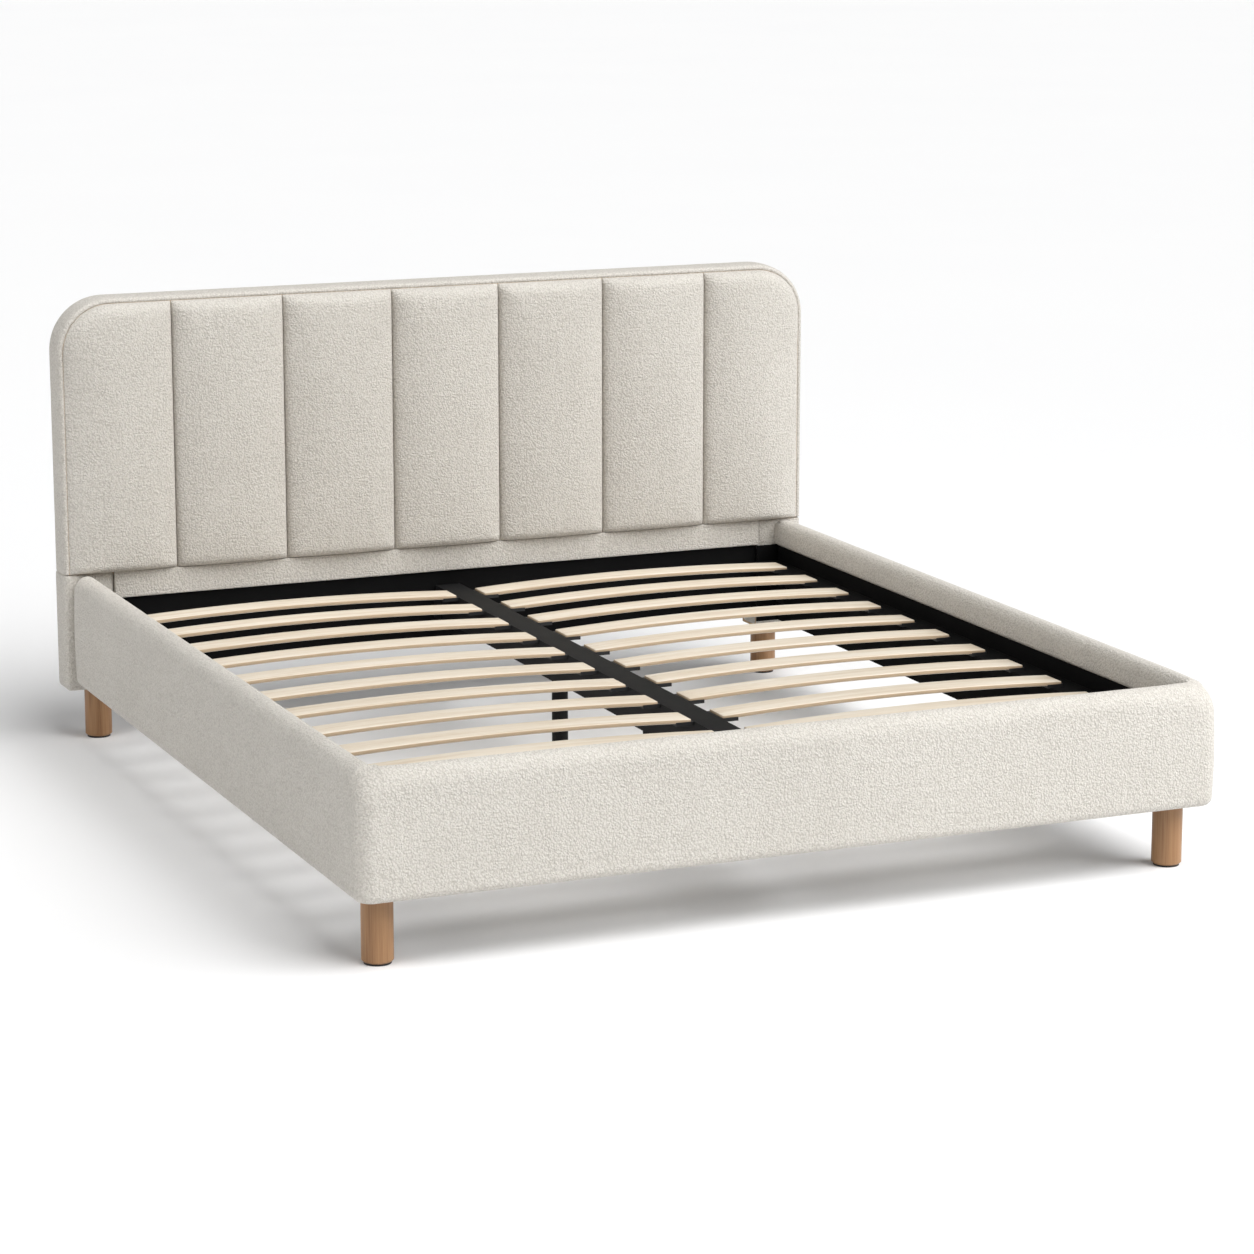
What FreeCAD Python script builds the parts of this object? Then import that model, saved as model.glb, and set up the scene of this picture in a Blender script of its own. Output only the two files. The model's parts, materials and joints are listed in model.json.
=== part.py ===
# Upholstered platform bed: a channelled headboard, padded side and foot rails,
# sprung slats on a steel centre rail, four round oak legs and two screw-adjusted
# support feet.  Millimetres, +Z up, floor at z = 0, head end towards +Y,
# origin on the floor under the middle of the bed.
import FreeCAD, Part
import math
import os
import Sketcher

OUTPUT_FOLDER = "parts"
AXIS_X = FreeCAD.Vector(1, 0, 0)
AXIS_Y = FreeCAD.Vector(0, 1, 0)
AXIS_Z = FreeCAD.Vector(0, 0, 1)
SIDES = {"left": -1, "right": 1}

doc = FreeCAD.newDocument("upholstered_bed")
sizes = doc.addObject("Spreadsheet::Sheet", "sizes")
layout = doc.addObject("App::FeaturePython", "layout")
parts = []

# ---------------------------------------------------------------- driving sizes

DRIVING_SIZES = [
    # mattress and the play round it
    ("mattress_width", 1800), ("mattress_length", 2000),
    ("mattress_side_play", 10), ("mattress_end_play", 26),
    # padded rails
    ("rail_top", 412), ("rail_bottom", 144), ("board_thick", 22),
    ("outer_foam", 28), ("inner_foam", 8), ("top_foam", 17),
    ("lining_line", 349), ("rail_round", 22), ("corner_round", 27),
    # headboard
    ("head_height", 1080), ("head_thick", 90), ("head_overhang", 17),
    ("head_corner", 130), ("border_thick", 12), ("panel_thick", 6),
    ("back_thick", 4), ("wing_bottom", 126), ("wing_width", 124),
    ("rail_to_pad", 3), ("stile_width", 40), ("frame_rail", 70),
    ("middle_rail_from", 700), ("channel_count", 7), ("pad_bulge", 25),
    ("pad_round", 19), ("pad_gap", 0.6), ("wing_round", 10),
    ("head_rail_bottom", 165), ("head_rail_setback", 3), ("band_proud", 8),
    # slats and their carriers
    ("slat_count", 11), ("slat_width", 70), ("slat_thick", 10),
    ("slat_crown", 12), ("slat_top", 319), ("slat_wall_gap", 41),
    ("slat_field_gap", 76), ("slat_first", 129), ("seat_gap", 0.3),
    ("ledge_width", 75), ("ledge_thick", 28), ("shoe_floor", 3),
    ("shoe_wall", 3), ("shoe_length", 35), ("shoe_cheek", 2.5),
    ("shoe_lip", 5), ("shoe_play", 0.4),
    # centre rail and its support legs
    ("centre_width", 65), ("centre_deep", 80), ("centre_wall", 2.5),
    ("centre_top", 314), ("hanger_thick", 3), ("hanger_length", 50),
    ("hanger_play", 0.4), ("hanger_lip", 60), ("support_offset", 268),
    ("support_dia", 38), ("support_wall", 2.5), ("support_plug", 20),
    ("support_lift", 40), ("plate_long", 80), ("plate_wide", 60),
    ("plate_thick", 4), ("stud_dia", 10), ("stud_top", 120),
    ("stud_socket", 6), ("stud_play", 0.3), ("stud_hex", 17),
    ("stud_hex_thick", 7), ("foot_pad_dia", 50), ("foot_pad_thick", 12),
    # legs and fixings
    ("leg_dia", 65), ("leg_in_side", 68), ("leg_in_foot", 92),
    ("leg_in_head", 43), ("leg_bevel", 4), ("glide_thick", 4),
    ("glide_dia", 56), ("leg_plate", 50), ("leg_plate_thick", 3),
    ("bolt_dia", 8), ("bolt_play", 0.25), ("hanger_bolt_down", 40),
    ("hanger_bolt_up", 60), ("block_width", 120), ("block_thick", 45),
    ("bracket_leg", 50), ("bracket_thick", 3), ("bracket_tall", 75),
    ("bracket_from", 195), ("bolt_length", 18), ("bolt_head", 5.5),
    ("bolt_head_dia", 13), ("bolt_from_corner", 30), ("bolt_from_edge", 20),
]

for row, (alias, value) in enumerate(DRIVING_SIZES, start=1):
    cell = "A%d" % row
    sizes.set(cell, str(value))
    sizes.setAlias(cell, alias)
doc.recompute()


def derive(name, expression):
    """A length that follows from the driving sizes; read later as layout.name."""
    layout.addProperty("App::PropertyFloat", name)
    layout.setExpression(name, expression)


def value(expression):
    """The present value of an expression, for first guesses and counts."""
    return float(layout.evalExpression(str(expression)))


# planes across the bed (X), measured from the middle
derive("inner_x", "sizes.mattress_width / 2 + sizes.mattress_side_play")
derive("board_in_x", "inner_x + sizes.inner_foam")
derive("board_out_x", "board_in_x + sizes.board_thick")
derive("outer_x", "board_out_x + sizes.outer_foam")
derive("head_x", "outer_x + sizes.head_overhang")
derive("head_in_x", "head_x - sizes.border_thick")
derive("wing_in_x", "head_x - sizes.wing_width")
derive("stile_in_x", "head_in_x - sizes.stile_width")
derive("slat_out_x", "inner_x - sizes.slat_wall_gap")
derive("slat_in_x", "sizes.slat_field_gap / 2")
derive("centre_x", "sizes.centre_width / 2")
derive("leg_x", "outer_x - sizes.leg_in_side")
# planes along the bed (Y)
derive("rail_thick", "sizes.inner_foam + sizes.board_thick + sizes.outer_foam")
derive("inside_length", "sizes.mattress_length + sizes.mattress_end_play")
derive("half_length", "(rail_thick + inside_length + sizes.head_thick) / 2")
derive("foot_y", "-half_length")
derive("foot_board_y", "foot_y + sizes.outer_foam")
derive("foot_board_in_y", "foot_board_y + sizes.board_thick")
derive("foot_in_y", "foot_y + rail_thick")
derive("head_y", "foot_in_y + inside_length")
derive("frame_y", "head_y + sizes.panel_thick")
derive("back_y", "half_length - sizes.back_thick")
derive("head_rail_y", "head_y + sizes.head_rail_setback")
derive("board_end_y", "head_y - sizes.inner_foam")
derive("middle_y", "(foot_in_y + head_y) / 2")
derive("slat_pitch", "(inside_length - 2 * sizes.slat_first) / (sizes.slat_count - 1)")
derive("leg_foot_y", "foot_y + sizes.leg_in_foot")
derive("leg_head_y", "head_y + sizes.leg_in_head")
# heights (Z)
derive("board_from", "sizes.rail_bottom + sizes.leg_plate_thick")
derive("board_top", "sizes.rail_top - sizes.top_foam")
derive("pad_from", "sizes.rail_top + sizes.rail_to_pad")
derive("frame_top", "sizes.head_height - sizes.border_thick")
derive("post_from", "sizes.wing_bottom + sizes.leg_plate_thick")
derive("slat_under", "sizes.slat_top - sizes.slat_thick")
derive("shoe_seat", "slat_under - sizes.seat_gap")
derive("ledge_top", "shoe_seat - sizes.shoe_floor")
derive("centre_under", "sizes.centre_top - sizes.centre_deep")
derive("channel_pitch", "2 * head_x / sizes.channel_count")
doc.recompute()


# ---------------------------------------------------------------- small helpers

def keep(feature, label):
    """Name a finished sub-part, which is written to its own file."""
    feature.Label = label
    parts.append(feature)
    return feature


def box(name, x, y, z):
    """A block between low and high planes; each of x, y, z is a pair of expressions."""
    feature = doc.addObject("Part::Box", name)
    for length, place, (low, high) in (("Length", "x", x), ("Width", "y", y), ("Height", "z", z)):
        feature.setExpression(length, "(%s) - (%s)" % (high, low))
        feature.setExpression("Placement.Base." + place, low)
    return feature


def rod(name, diameter, centre, along, length):
    """A round bar that starts at centre and runs a length along a signed axis."""
    feature = doc.addObject("Part::Cylinder", name)
    feature.setExpression("Radius", "(%s) / 2" % diameter)
    feature.setExpression("Height", length)
    feature.Placement = FreeCAD.Placement(FreeCAD.Vector(), FreeCAD.Rotation(AXIS_Z, along))
    for place, expression in zip("xyz", centre):
        feature.setExpression("Placement.Base." + place, expression)
    return feature


def cut(name, base, tools):
    """The base with every tool taken out of it."""
    tool = tools[0] if len(tools) == 1 else fuse(name + "_tools", tools)
    feature = doc.addObject("Part::Cut", name)
    feature.Base = base
    feature.Tool = tool
    return feature


def fuse(name, shapes):
    """One solid, or one tool, from shapes that meet or overlap."""
    feature = doc.addObject("Part::MultiFuse", name)
    feature.Shapes = shapes
    return feature


def group(name, members):
    """Identical loose pieces kept together as separate solids."""
    feature = doc.addObject("Part::Compound", name)
    feature.Links = members
    return feature


def span(sign, low, high):
    """A pair of X planes on the right side, or its mirror on the left."""
    if sign > 0:
        return (low, high)
    return ("-(%s)" % high, "-(%s)" % low)


def signed(sign, expression):
    return expression if sign > 0 else "-(%s)" % expression


def origin_plane(body, role):
    for feature in body.Origin.OriginFeatures:
        if feature.Role == role:
            return feature
    raise ValueError(role)


def draw(sketch, corners):
    """A closed outline of straight edges, each corner held by two bound distances."""
    points = [FreeCAD.Vector(value(a), value(b), 0) for a, b in corners]
    first = sketch.GeometryCount
    count = len(points)
    for index in range(count):
        edge = Part.LineSegment(points[index], points[(index + 1) % count])
        sketch.addGeometry(edge, False)
    for index in range(count):
        following = first + (index + 1) % count
        sketch.addConstraint(Sketcher.Constraint("Coincident", first + index, 2, following, 1))
    for index, (across, up) in enumerate(corners):
        for kind, expression in (("DistanceX", across), ("DistanceY", up)):
            bind(sketch, kind, first + index, 1, expression)


def bind(sketch, kind, geometry, point, expression):
    """Hold a point at a signed distance from the sketch origin."""
    number = sketch.addConstraint(
        Sketcher.Constraint(kind, -1, 1, geometry, point, value(expression)))
    sketch.setExpression("Constraints[%d]" % number, expression)


def add_sketch(body, name, role, offset=None):
    """A sketch on one of the body's own origin planes, moved along its normal."""
    sketch = body.newObject("Sketcher::SketchObject", name)
    sketch.AttachmentSupport = (origin_plane(body, role), [""])
    sketch.MapMode = "FlatFace"
    if offset is not None:
        sketch.setExpression("AttachmentOffset.Base.z", offset)
    return sketch


def pad(body, name, role, corners, start, length):
    """Pad an outline from a start plane; XZ planes face -Y, so they are reversed."""
    facing = "-(%s)" % start if role == "XZ_Plane" else start
    sketch = add_sketch(body, name + "_outline", role, facing)
    for outline in corners:
        draw(sketch, outline)
    feature = body.newObject("PartDesign::Pad", name)
    feature.Profile = sketch
    feature.setExpression("Length", length)
    feature.Reversed = role == "XZ_Plane"
    doc.recompute()
    return feature


def rectangle(across, up):
    """The four corners between two pairs of expressions."""
    (left, right), (low, high) = across, up
    return [(left, low), (right, low), (right, high), (left, high)]


def along_axis(edge, axis):
    if len(edge.Vertexes) != 2 or not isinstance(edge.Curve, Part.Line):
        return False
    direction = (edge.Vertexes[1].Point - edge.Vertexes[0].Point).normalize()
    return abs(direction.dot(axis)) > 0.999


def near(coordinate, expression):
    return abs(coordinate - value(expression)) < 0.01


def fillet(body, name, radius, chooses):
    """Round the edges of the body's tip that a test chooses."""
    base = body.Tip
    edges = ["Edge%d" % (i + 1) for i, edge in enumerate(base.Shape.Edges) if chooses(edge)]
    if not edges:
        raise ValueError("no edge to round on " + body.Name)
    feature = body.newObject("PartDesign::Fillet", name)
    feature.Base = (base, edges)
    feature.setExpression("Radius", radius)
    doc.recompute()
    return feature


def new_body(name):
    return doc.addObject("PartDesign::Body", name)


# ---------------------------------------------------------------- padded rails

def rail_section(face, board_out, board_in, inside):
    """Foam over a board: thick outside, over the top, thin down to the lining line."""
    return [
        (face, "sizes.rail_bottom"), (face, "sizes.rail_top"),
        (inside, "sizes.rail_top"), (inside, "sizes.lining_line"),
        (board_in, "sizes.lining_line"), (board_in, "layout.board_top"),
        (board_out, "layout.board_top"), (board_out, "sizes.rail_bottom"),
    ]


def rounded_rail_edges(axis, across_of, face, inside):
    """The long outer edges, top and bottom, and the long inner top edge."""
    def chooses(edge):
        if not along_axis(edge, axis):
            return False
        point = edge.Vertexes[0].Point
        outer = near(across_of(point), face)
        inner_top = near(across_of(point), inside) and near(point.z, "sizes.rail_top")
        return outer or inner_top
    return chooses


def bolt_positions():
    """Heights of the two bolts in each leg of a corner bracket."""
    low = "sizes.bracket_from + sizes.bolt_from_edge"
    high = "sizes.bracket_from + sizes.bracket_tall - sizes.bolt_from_edge"
    return (low, high)


HOLE = "sizes.bolt_dia + 2 * sizes.bolt_play"
BRACKET_ENDS = {
    # which way the bracket's second leg lies, and the plane that it lies against
    "foot": (1, "layout.foot_board_in_y"),
    "head": (-1, "layout.head_y"),
}


def bolt_y(end):
    direction, plane = BRACKET_ENDS[end]
    return "%s + (%d) * sizes.bolt_from_corner" % (plane, direction)


def bolt_x(sign):
    return signed(sign, "layout.board_in_x - sizes.bolt_from_corner")


def side_holes(name, sign):
    """Bolt holes through a side board, for the brackets at both of its ends."""
    tools = []
    for end in BRACKET_ENDS:
        for number, height in enumerate(bolt_positions()):
            centre = (signed(sign, "layout.board_in_x - 1"), bolt_y(end), height)
            tools.append(rod("%s_hole_%s%d" % (name, end, number), HOLE, centre,
                             AXIS_X * sign, "sizes.board_thick + 2"))
    return tools


def side_rails():
    for side, sign in SIDES.items():
        board = box("side_board_blank_" + side,
                    span(sign, "layout.board_in_x", "layout.board_out_x"),
                    ("layout.foot_in_y", "layout.board_end_y"),
                    ("layout.board_from", "layout.board_top"))
        name = "side_rail_board_" + side
        keep(cut(name, board, side_holes(name, sign)), name)

        planes = [signed(sign, plane) for plane in
                  ("layout.outer_x", "layout.board_out_x", "layout.board_in_x", "layout.inner_x")]
        body = new_body("side_rail_cover_" + side)
        length = "layout.head_y - layout.foot_in_y"
        pad(body, "cover_" + side, "XZ_Plane", [rail_section(*planes)], "layout.foot_in_y", length)
        closing = rectangle(span(sign, "layout.board_in_x", "layout.board_out_x"),
                            ("layout.board_from", "layout.board_top"))
        pad(body, "cover_end_" + side, "XZ_Plane", [closing], "layout.board_end_y",
            "layout.head_y - layout.board_end_y")
        chooses = rounded_rail_edges(AXIS_Y, lambda p: p.x, planes[0], planes[3])
        fillet(body, "cover_round_" + side, "sizes.rail_round / 2", chooses)
        keep(body, "side_rail_cover_" + side)

        ledge = box("ledge_" + side,
                    span(sign, "layout.board_in_x - sizes.ledge_width", "layout.board_in_x"),
                    ("layout.foot_board_in_y", "layout.board_end_y"),
                    ("layout.ledge_top - sizes.ledge_thick", "layout.ledge_top"))
        keep(ledge, "slat_ledge_" + side)


def foot_rail():
    board = box("foot_board_blank", ("-layout.board_out_x", "layout.board_out_x"),
                ("layout.foot_board_y", "layout.foot_board_in_y"),
                ("layout.board_from", "layout.board_top"))
    holes = []
    for side, sign in SIDES.items():
        for number, height in enumerate(bolt_positions()):
            centre = (bolt_x(sign), "layout.foot_board_y - 1", height)
            holes.append(rod("foot_hole_%s%d" % (side, number), HOLE, centre,
                             AXIS_Y, "sizes.board_thick + 2"))
    keep(cut("foot_rail_board", board, holes), "foot_rail_board")

    body = new_body("foot_rail_cover")
    section = rail_section("layout.foot_y", "layout.foot_board_y",
                           "layout.foot_board_in_y", "layout.foot_in_y")
    pad(body, "foot_cover", "YZ_Plane", [section], "-layout.outer_x", "2 * layout.outer_x")
    cheeks = [rectangle(span(sign, "layout.board_out_x", "layout.outer_x"),
                        ("layout.foot_y", "layout.foot_in_y")) for sign in (1, -1)]
    pad(body, "foot_cheeks", "XY_Plane", cheeks, "sizes.rail_bottom",
        "sizes.rail_top - sizes.rail_bottom")

    def upright_corner(edge):
        point = edge.Vertexes[0].Point
        return (along_axis(edge, AXIS_Z) and near(point.y, "layout.foot_y")
                and near(abs(point.x), "layout.outer_x"))

    def outer_rim(edge):
        """The rim round the foot and the cheeks, top and bottom."""
        heights = [vertex.Point.z for vertex in edge.Vertexes]
        level = all(near(height, "sizes.rail_bottom") for height in heights) or all(
            near(height, "sizes.rail_top") for height in heights)
        if not level:
            return False
        middle = edge.valueAt((edge.FirstParameter + edge.LastParameter) / 2)
        corner = value("layout.foot_y + sizes.corner_round")
        on_cheek = near(abs(middle.x), "layout.outer_x")
        on_front = near(middle.y, "layout.foot_y")
        on_corner = middle.y < corner and abs(middle.x) > value(
            "layout.outer_x - sizes.corner_round")
        return on_cheek or on_front or on_corner

    fillet(body, "foot_corners", "sizes.corner_round", upright_corner)
    fillet(body, "foot_rim", "sizes.rail_round / 2", outer_rim)
    keep(body, "foot_rail_cover")


# ---------------------------------------------------------------- corner fixings

def corner_blocks():
    """Square timber blocks in the foot corners, which carry the front legs."""
    blocks = []
    for side, sign in SIDES.items():
        block = box("block_" + side,
                    span(sign, "layout.board_in_x - sizes.block_width", "layout.board_in_x"),
                    ("layout.foot_board_in_y", "layout.foot_board_in_y + sizes.block_width"),
                    ("layout.board_from", "layout.board_from + sizes.block_thick"))
        hole = rod("block_hole_" + side, HOLE,
                   (signed(sign, "layout.leg_x"), "layout.leg_foot_y", "layout.board_from - 1"),
                   AXIS_Z, "sizes.block_thick + 2")
        blocks.append(cut("block_drilled_" + side, block, [hole]))
    keep(group("corner_blocks", blocks), "corner_blocks")


def corner_brackets():
    """Steel angles: one leg on the side board, one on the foot board or the wing."""
    angles = []
    for side, sign in SIDES.items():
        for end, (direction, plane) in BRACKET_ENDS.items():
            name = "angle_%s_%s" % (end, side)
            reach = "%s + (%d) * sizes.bracket_leg" % (plane, direction)
            sheet = "%s + (%d) * sizes.bracket_thick" % (plane, direction)
            heights = ("sizes.bracket_from", "sizes.bracket_from + sizes.bracket_tall")
            along = box(name + "_along",
                        span(sign, "layout.board_in_x - sizes.bracket_thick",
                             "layout.board_in_x"),
                        (plane, reach) if direction > 0 else (reach, plane), heights)
            across = box(name + "_across",
                         span(sign, "layout.board_in_x - sizes.bracket_leg",
                              "layout.board_in_x"),
                         (plane, sheet) if direction > 0 else (sheet, plane), heights)
            blank = fuse(name + "_blank", [along, across])
            holes = []
            for number, height in enumerate(bolt_positions()):
                holes.append(rod("%s_hole_x%d" % (name, number), HOLE,
                                 (signed(sign, "layout.board_in_x - sizes.bracket_thick - 1"),
                                  bolt_y(end), height),
                                 AXIS_X * sign, "sizes.bracket_thick + 2"))
                holes.append(rod("%s_hole_y%d" % (name, number), HOLE,
                                 (bolt_x(sign), "%s - (%d)" % (plane, direction), height),
                                 AXIS_Y * direction, "sizes.bracket_thick + 2"))
            angles.append(cut(name, blank, holes))
    keep(group("corner_brackets", angles), "corner_brackets")


def bolt(name, centre, along):
    """A headed bolt whose shank starts under its head at centre."""
    shank = rod(name + "_shank", "sizes.bolt_dia", centre, along, "sizes.bolt_length")
    head = rod(name + "_head", "sizes.bolt_head_dia", centre, along * -1, "sizes.bolt_head")
    return fuse(name, [shank, head])


def corner_bolts():
    bolts = []
    for side, sign in SIDES.items():
        for end, (direction, plane) in BRACKET_ENDS.items():
            for number, height in enumerate(bolt_positions()):
                name = "bolt_%s_%s%d" % (end, side, number)
                along_side = (signed(sign, "layout.board_in_x - sizes.bracket_thick"),
                              bolt_y(end), height)
                bolts.append(bolt(name + "x", along_side, AXIS_X * sign))
                against_end = (bolt_x(sign),
                               "%s + (%d) * sizes.bracket_thick" % (plane, direction), height)
                bolts.append(bolt(name + "y", against_end, AXIS_Y * -direction))
    keep(group("corner_bolts", bolts), "corner_bolts")


# ---------------------------------------------------------------- headboard

def frame_outline():
    """The space inside the border, with its two rounded top corners."""
    body = new_body("frame_space")
    outline = rectangle(("-layout.head_in_x", "layout.head_in_x"),
                        ("layout.post_from", "layout.frame_top"))
    pad(body, "frame_space_pad", "XZ_Plane", [outline], "layout.head_y",
        "sizes.head_thick")
    fillet(body, "frame_space_corners", "sizes.head_corner - sizes.border_thick",
           top_corner("layout.head_in_x", "layout.frame_top"))
    return body


def top_corner(across, height):
    """Edges along Y at the top outer corners."""
    def chooses(edge):
        point = edge.Vertexes[0].Point
        return (along_axis(edge, AXIS_Y) and near(abs(point.x), across)
                and near(point.z, height))
    return chooses


def trimmed(name, blank, outline):
    feature = doc.addObject("Part::Common", name)
    feature.Base = blank
    feature.Tool = outline
    return feature


def headboard_frame(outline):
    depth = ("layout.frame_y", "layout.back_y")
    rail_low = "layout.frame_top - sizes.frame_rail"
    for side, sign in SIDES.items():
        stile = box("stile_blank_" + side, span(sign, "layout.stile_in_x", "layout.head_in_x"),
                    depth, ("layout.post_from", rail_low))
        keep(trimmed("stile_" + side, stile, outline), "headboard_stile_" + side)

        post = box("post_blank_" + side, span(sign, "layout.wing_in_x", "layout.stile_in_x"),
                   depth, ("layout.post_from", "layout.pad_from + sizes.frame_rail"))
        holes = [rod("post_leg_hole_" + side, HOLE,
                     (signed(sign, "layout.leg_x"), "layout.leg_head_y", "layout.post_from - 1"),
                     AXIS_Z, "sizes.hanger_bolt_up + 2")]
        for number, height in enumerate(bolt_positions()):
            holes.append(rod("post_bolt_hole_%s%d" % (side, number), HOLE,
                             (bolt_x(sign), "layout.frame_y - 1", height),
                             AXIS_Y, "sizes.bolt_length + 2"))
        keep(cut("post_" + side, post, holes), "wing_post_" + side)
    top = box("top_rail_blank", ("-layout.head_in_x", "layout.head_in_x"), depth,
              (rail_low, "layout.frame_top"))
    keep(trimmed("top_rail", top, outline), "headboard_top_rail")
    keep(box("middle_rail", ("-layout.stile_in_x", "layout.stile_in_x"), depth,
             ("sizes.middle_rail_from", "sizes.middle_rail_from + sizes.frame_rail")),
         "headboard_middle_rail")
    keep(box("bottom_rail", ("-layout.wing_in_x", "layout.wing_in_x"), depth,
             ("layout.pad_from", "layout.pad_from + sizes.frame_rail")),
         "headboard_bottom_rail")


def headboard_sheets():
    """The face panel behind the pads and the upholstered back cover."""
    for label, start, length in (
            ("headboard_panel", "layout.head_y", "sizes.panel_thick"),
            ("headboard_back_cover", "layout.back_y", "sizes.back_thick")):
        body = new_body(label)
        outline = rectangle(("-layout.head_in_x", "layout.head_in_x"),
                            ("layout.pad_from", "layout.frame_top"))
        pad(body, label + "_sheet", "XZ_Plane", [outline], start, length)
        fillet(body, label + "_corners", "sizes.head_corner - sizes.border_thick",
               top_corner("layout.head_in_x", "layout.frame_top"))
        keep(body, label)


def headboard_border():
    """The padded band round the sides and top, between face seam and back."""
    body = new_body("headboard_border")
    arch = [
        ("-layout.head_x", "layout.pad_from"), ("-layout.head_x", "sizes.head_height"),
        ("layout.head_x", "sizes.head_height"), ("layout.head_x", "layout.pad_from"),
        ("layout.head_in_x", "layout.pad_from"), ("layout.head_in_x", "layout.frame_top"),
        ("-layout.head_in_x", "layout.frame_top"), ("-layout.head_in_x", "layout.pad_from"),
    ]
    pad(body, "border_arch", "XZ_Plane", [arch], "layout.head_y", "sizes.head_thick")
    fillet(body, "border_outer_corners", "sizes.head_corner",
           top_corner("layout.head_x", "sizes.head_height"))
    fillet(body, "border_inner_corners", "sizes.head_corner - sizes.border_thick",
           top_corner("layout.head_in_x", "layout.frame_top"))
    keep(body, "headboard_border")


def headboard_channels():
    """Upright foam channels side by side; the end ones follow the top corners."""
    count = int(value("sizes.channel_count"))
    front = "layout.head_y - sizes.pad_bulge"
    for number in range(1, count + 1):
        label = "headboard_channel_%d" % number
        left = "-layout.head_x + %d * layout.channel_pitch" % (number - 1)
        right = "-layout.head_x + %d * layout.channel_pitch" % number
        if number > 1:
            left += " + sizes.pad_gap / 2"
        if number < count:
            right += " - sizes.pad_gap / 2"
        body = new_body(label)
        outline = rectangle((left, right), ("layout.pad_from", "sizes.head_height"))
        pad(body, label + "_pad", "XZ_Plane", [outline], front, "sizes.pad_bulge")
        if number in (1, count):
            fillet(body, label + "_corner", "sizes.head_corner",
                   top_corner("layout.head_x", "sizes.head_height"))

        def front_rim(edge):
            return all(near(vertex.Point.y, front) for vertex in edge.Vertexes)

        fillet(body, label + "_crown", "sizes.pad_round", front_rim)
        keep(body, label)


def wings():
    """Upholstered feet of the headboard, wrapped round the posts, and open inwards."""
    for side, sign in SIDES.items():
        body = new_body("wing_" + side)
        section = [(signed(sign, across), along) for across, along in (
            ("layout.wing_in_x", "layout.head_y"), ("layout.head_x", "layout.head_y"),
            ("layout.head_x", "layout.half_length"), ("layout.wing_in_x", "layout.half_length"),
            ("layout.wing_in_x", "layout.back_y"), ("layout.head_in_x", "layout.back_y"),
            ("layout.head_in_x", "layout.frame_y"), ("layout.wing_in_x", "layout.frame_y"))]
        pad(body, "wing_wrap_" + side, "XY_Plane", [section], "sizes.wing_bottom",
            "layout.pad_from - sizes.wing_bottom")
        drill = [rectangle(span(1, "%s - (%s) / 2" % (bolt_x(sign), HOLE),
                                "%s + (%s) / 2" % (bolt_x(sign), HOLE)),
                           ("%s - (%s) / 2" % (height, HOLE), "%s + (%s) / 2" % (height, HOLE)))
                 for height in bolt_positions()]
        sketch = add_sketch(body, "wing_slots_" + side, "XZ_Plane", "-(layout.head_y - 1)")
        for outline in drill:
            draw(sketch, outline)
        pocket = body.newObject("PartDesign::Pocket", "wing_bolt_slots_" + side)
        pocket.Profile = sketch
        pocket.setExpression("Length", "sizes.panel_thick + 2")
        pocket.Reversed = False
        doc.recompute()

        def outer_upright(edge):
            return along_axis(edge, AXIS_Z) and near(edge.Vertexes[0].Point.x,
                                                     signed(sign, "layout.head_x"))

        fillet(body, "wing_round_" + side, "sizes.wing_round", outer_upright)
        keep(body, "headboard_wing_" + side)


def head_crosspiece():
    """The black cross board between the wings and the padded band on its top edge."""
    across = ("-layout.wing_in_x", "layout.wing_in_x")
    keep(box("head_rail_block", across,
             ("layout.head_rail_y", "layout.head_rail_y + sizes.board_thick"),
             ("sizes.head_rail_bottom", "sizes.rail_top")), "head_rail")
    body = new_body("head_band")
    section = rectangle(("layout.head_y - sizes.band_proud", "layout.head_rail_y"),
                        ("sizes.lining_line", "sizes.rail_top"))
    pad(body, "head_band_pad", "YZ_Plane", [section], "-layout.wing_in_x",
        "2 * layout.wing_in_x")

    def top_front(edge):
        point = edge.Vertexes[0].Point
        return (along_axis(edge, AXIS_X) and near(point.z, "sizes.rail_top")
                and near(point.y, "layout.head_y - sizes.band_proud"))

    fillet(body, "head_band_round", "sizes.band_proud - 1", top_front)
    keep(body, "head_band")


# ---------------------------------------------------------------- slats

def slat_profile():
    """Side view of the two bowed slats of a row, as two closed outlines."""
    sketch = doc.addObject("Sketcher::SketchObject", "slat_profile")
    sketch.Placement = FreeCAD.Placement(FreeCAD.Vector(), FreeCAD.Rotation(AXIS_X, 90))
    for sign in (-1, 1):
        low, high = span(sign, "layout.slat_in_x", "layout.slat_out_x")
        draw_bowed_strip(sketch, low, high)
    doc.recompute()
    return sketch


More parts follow.
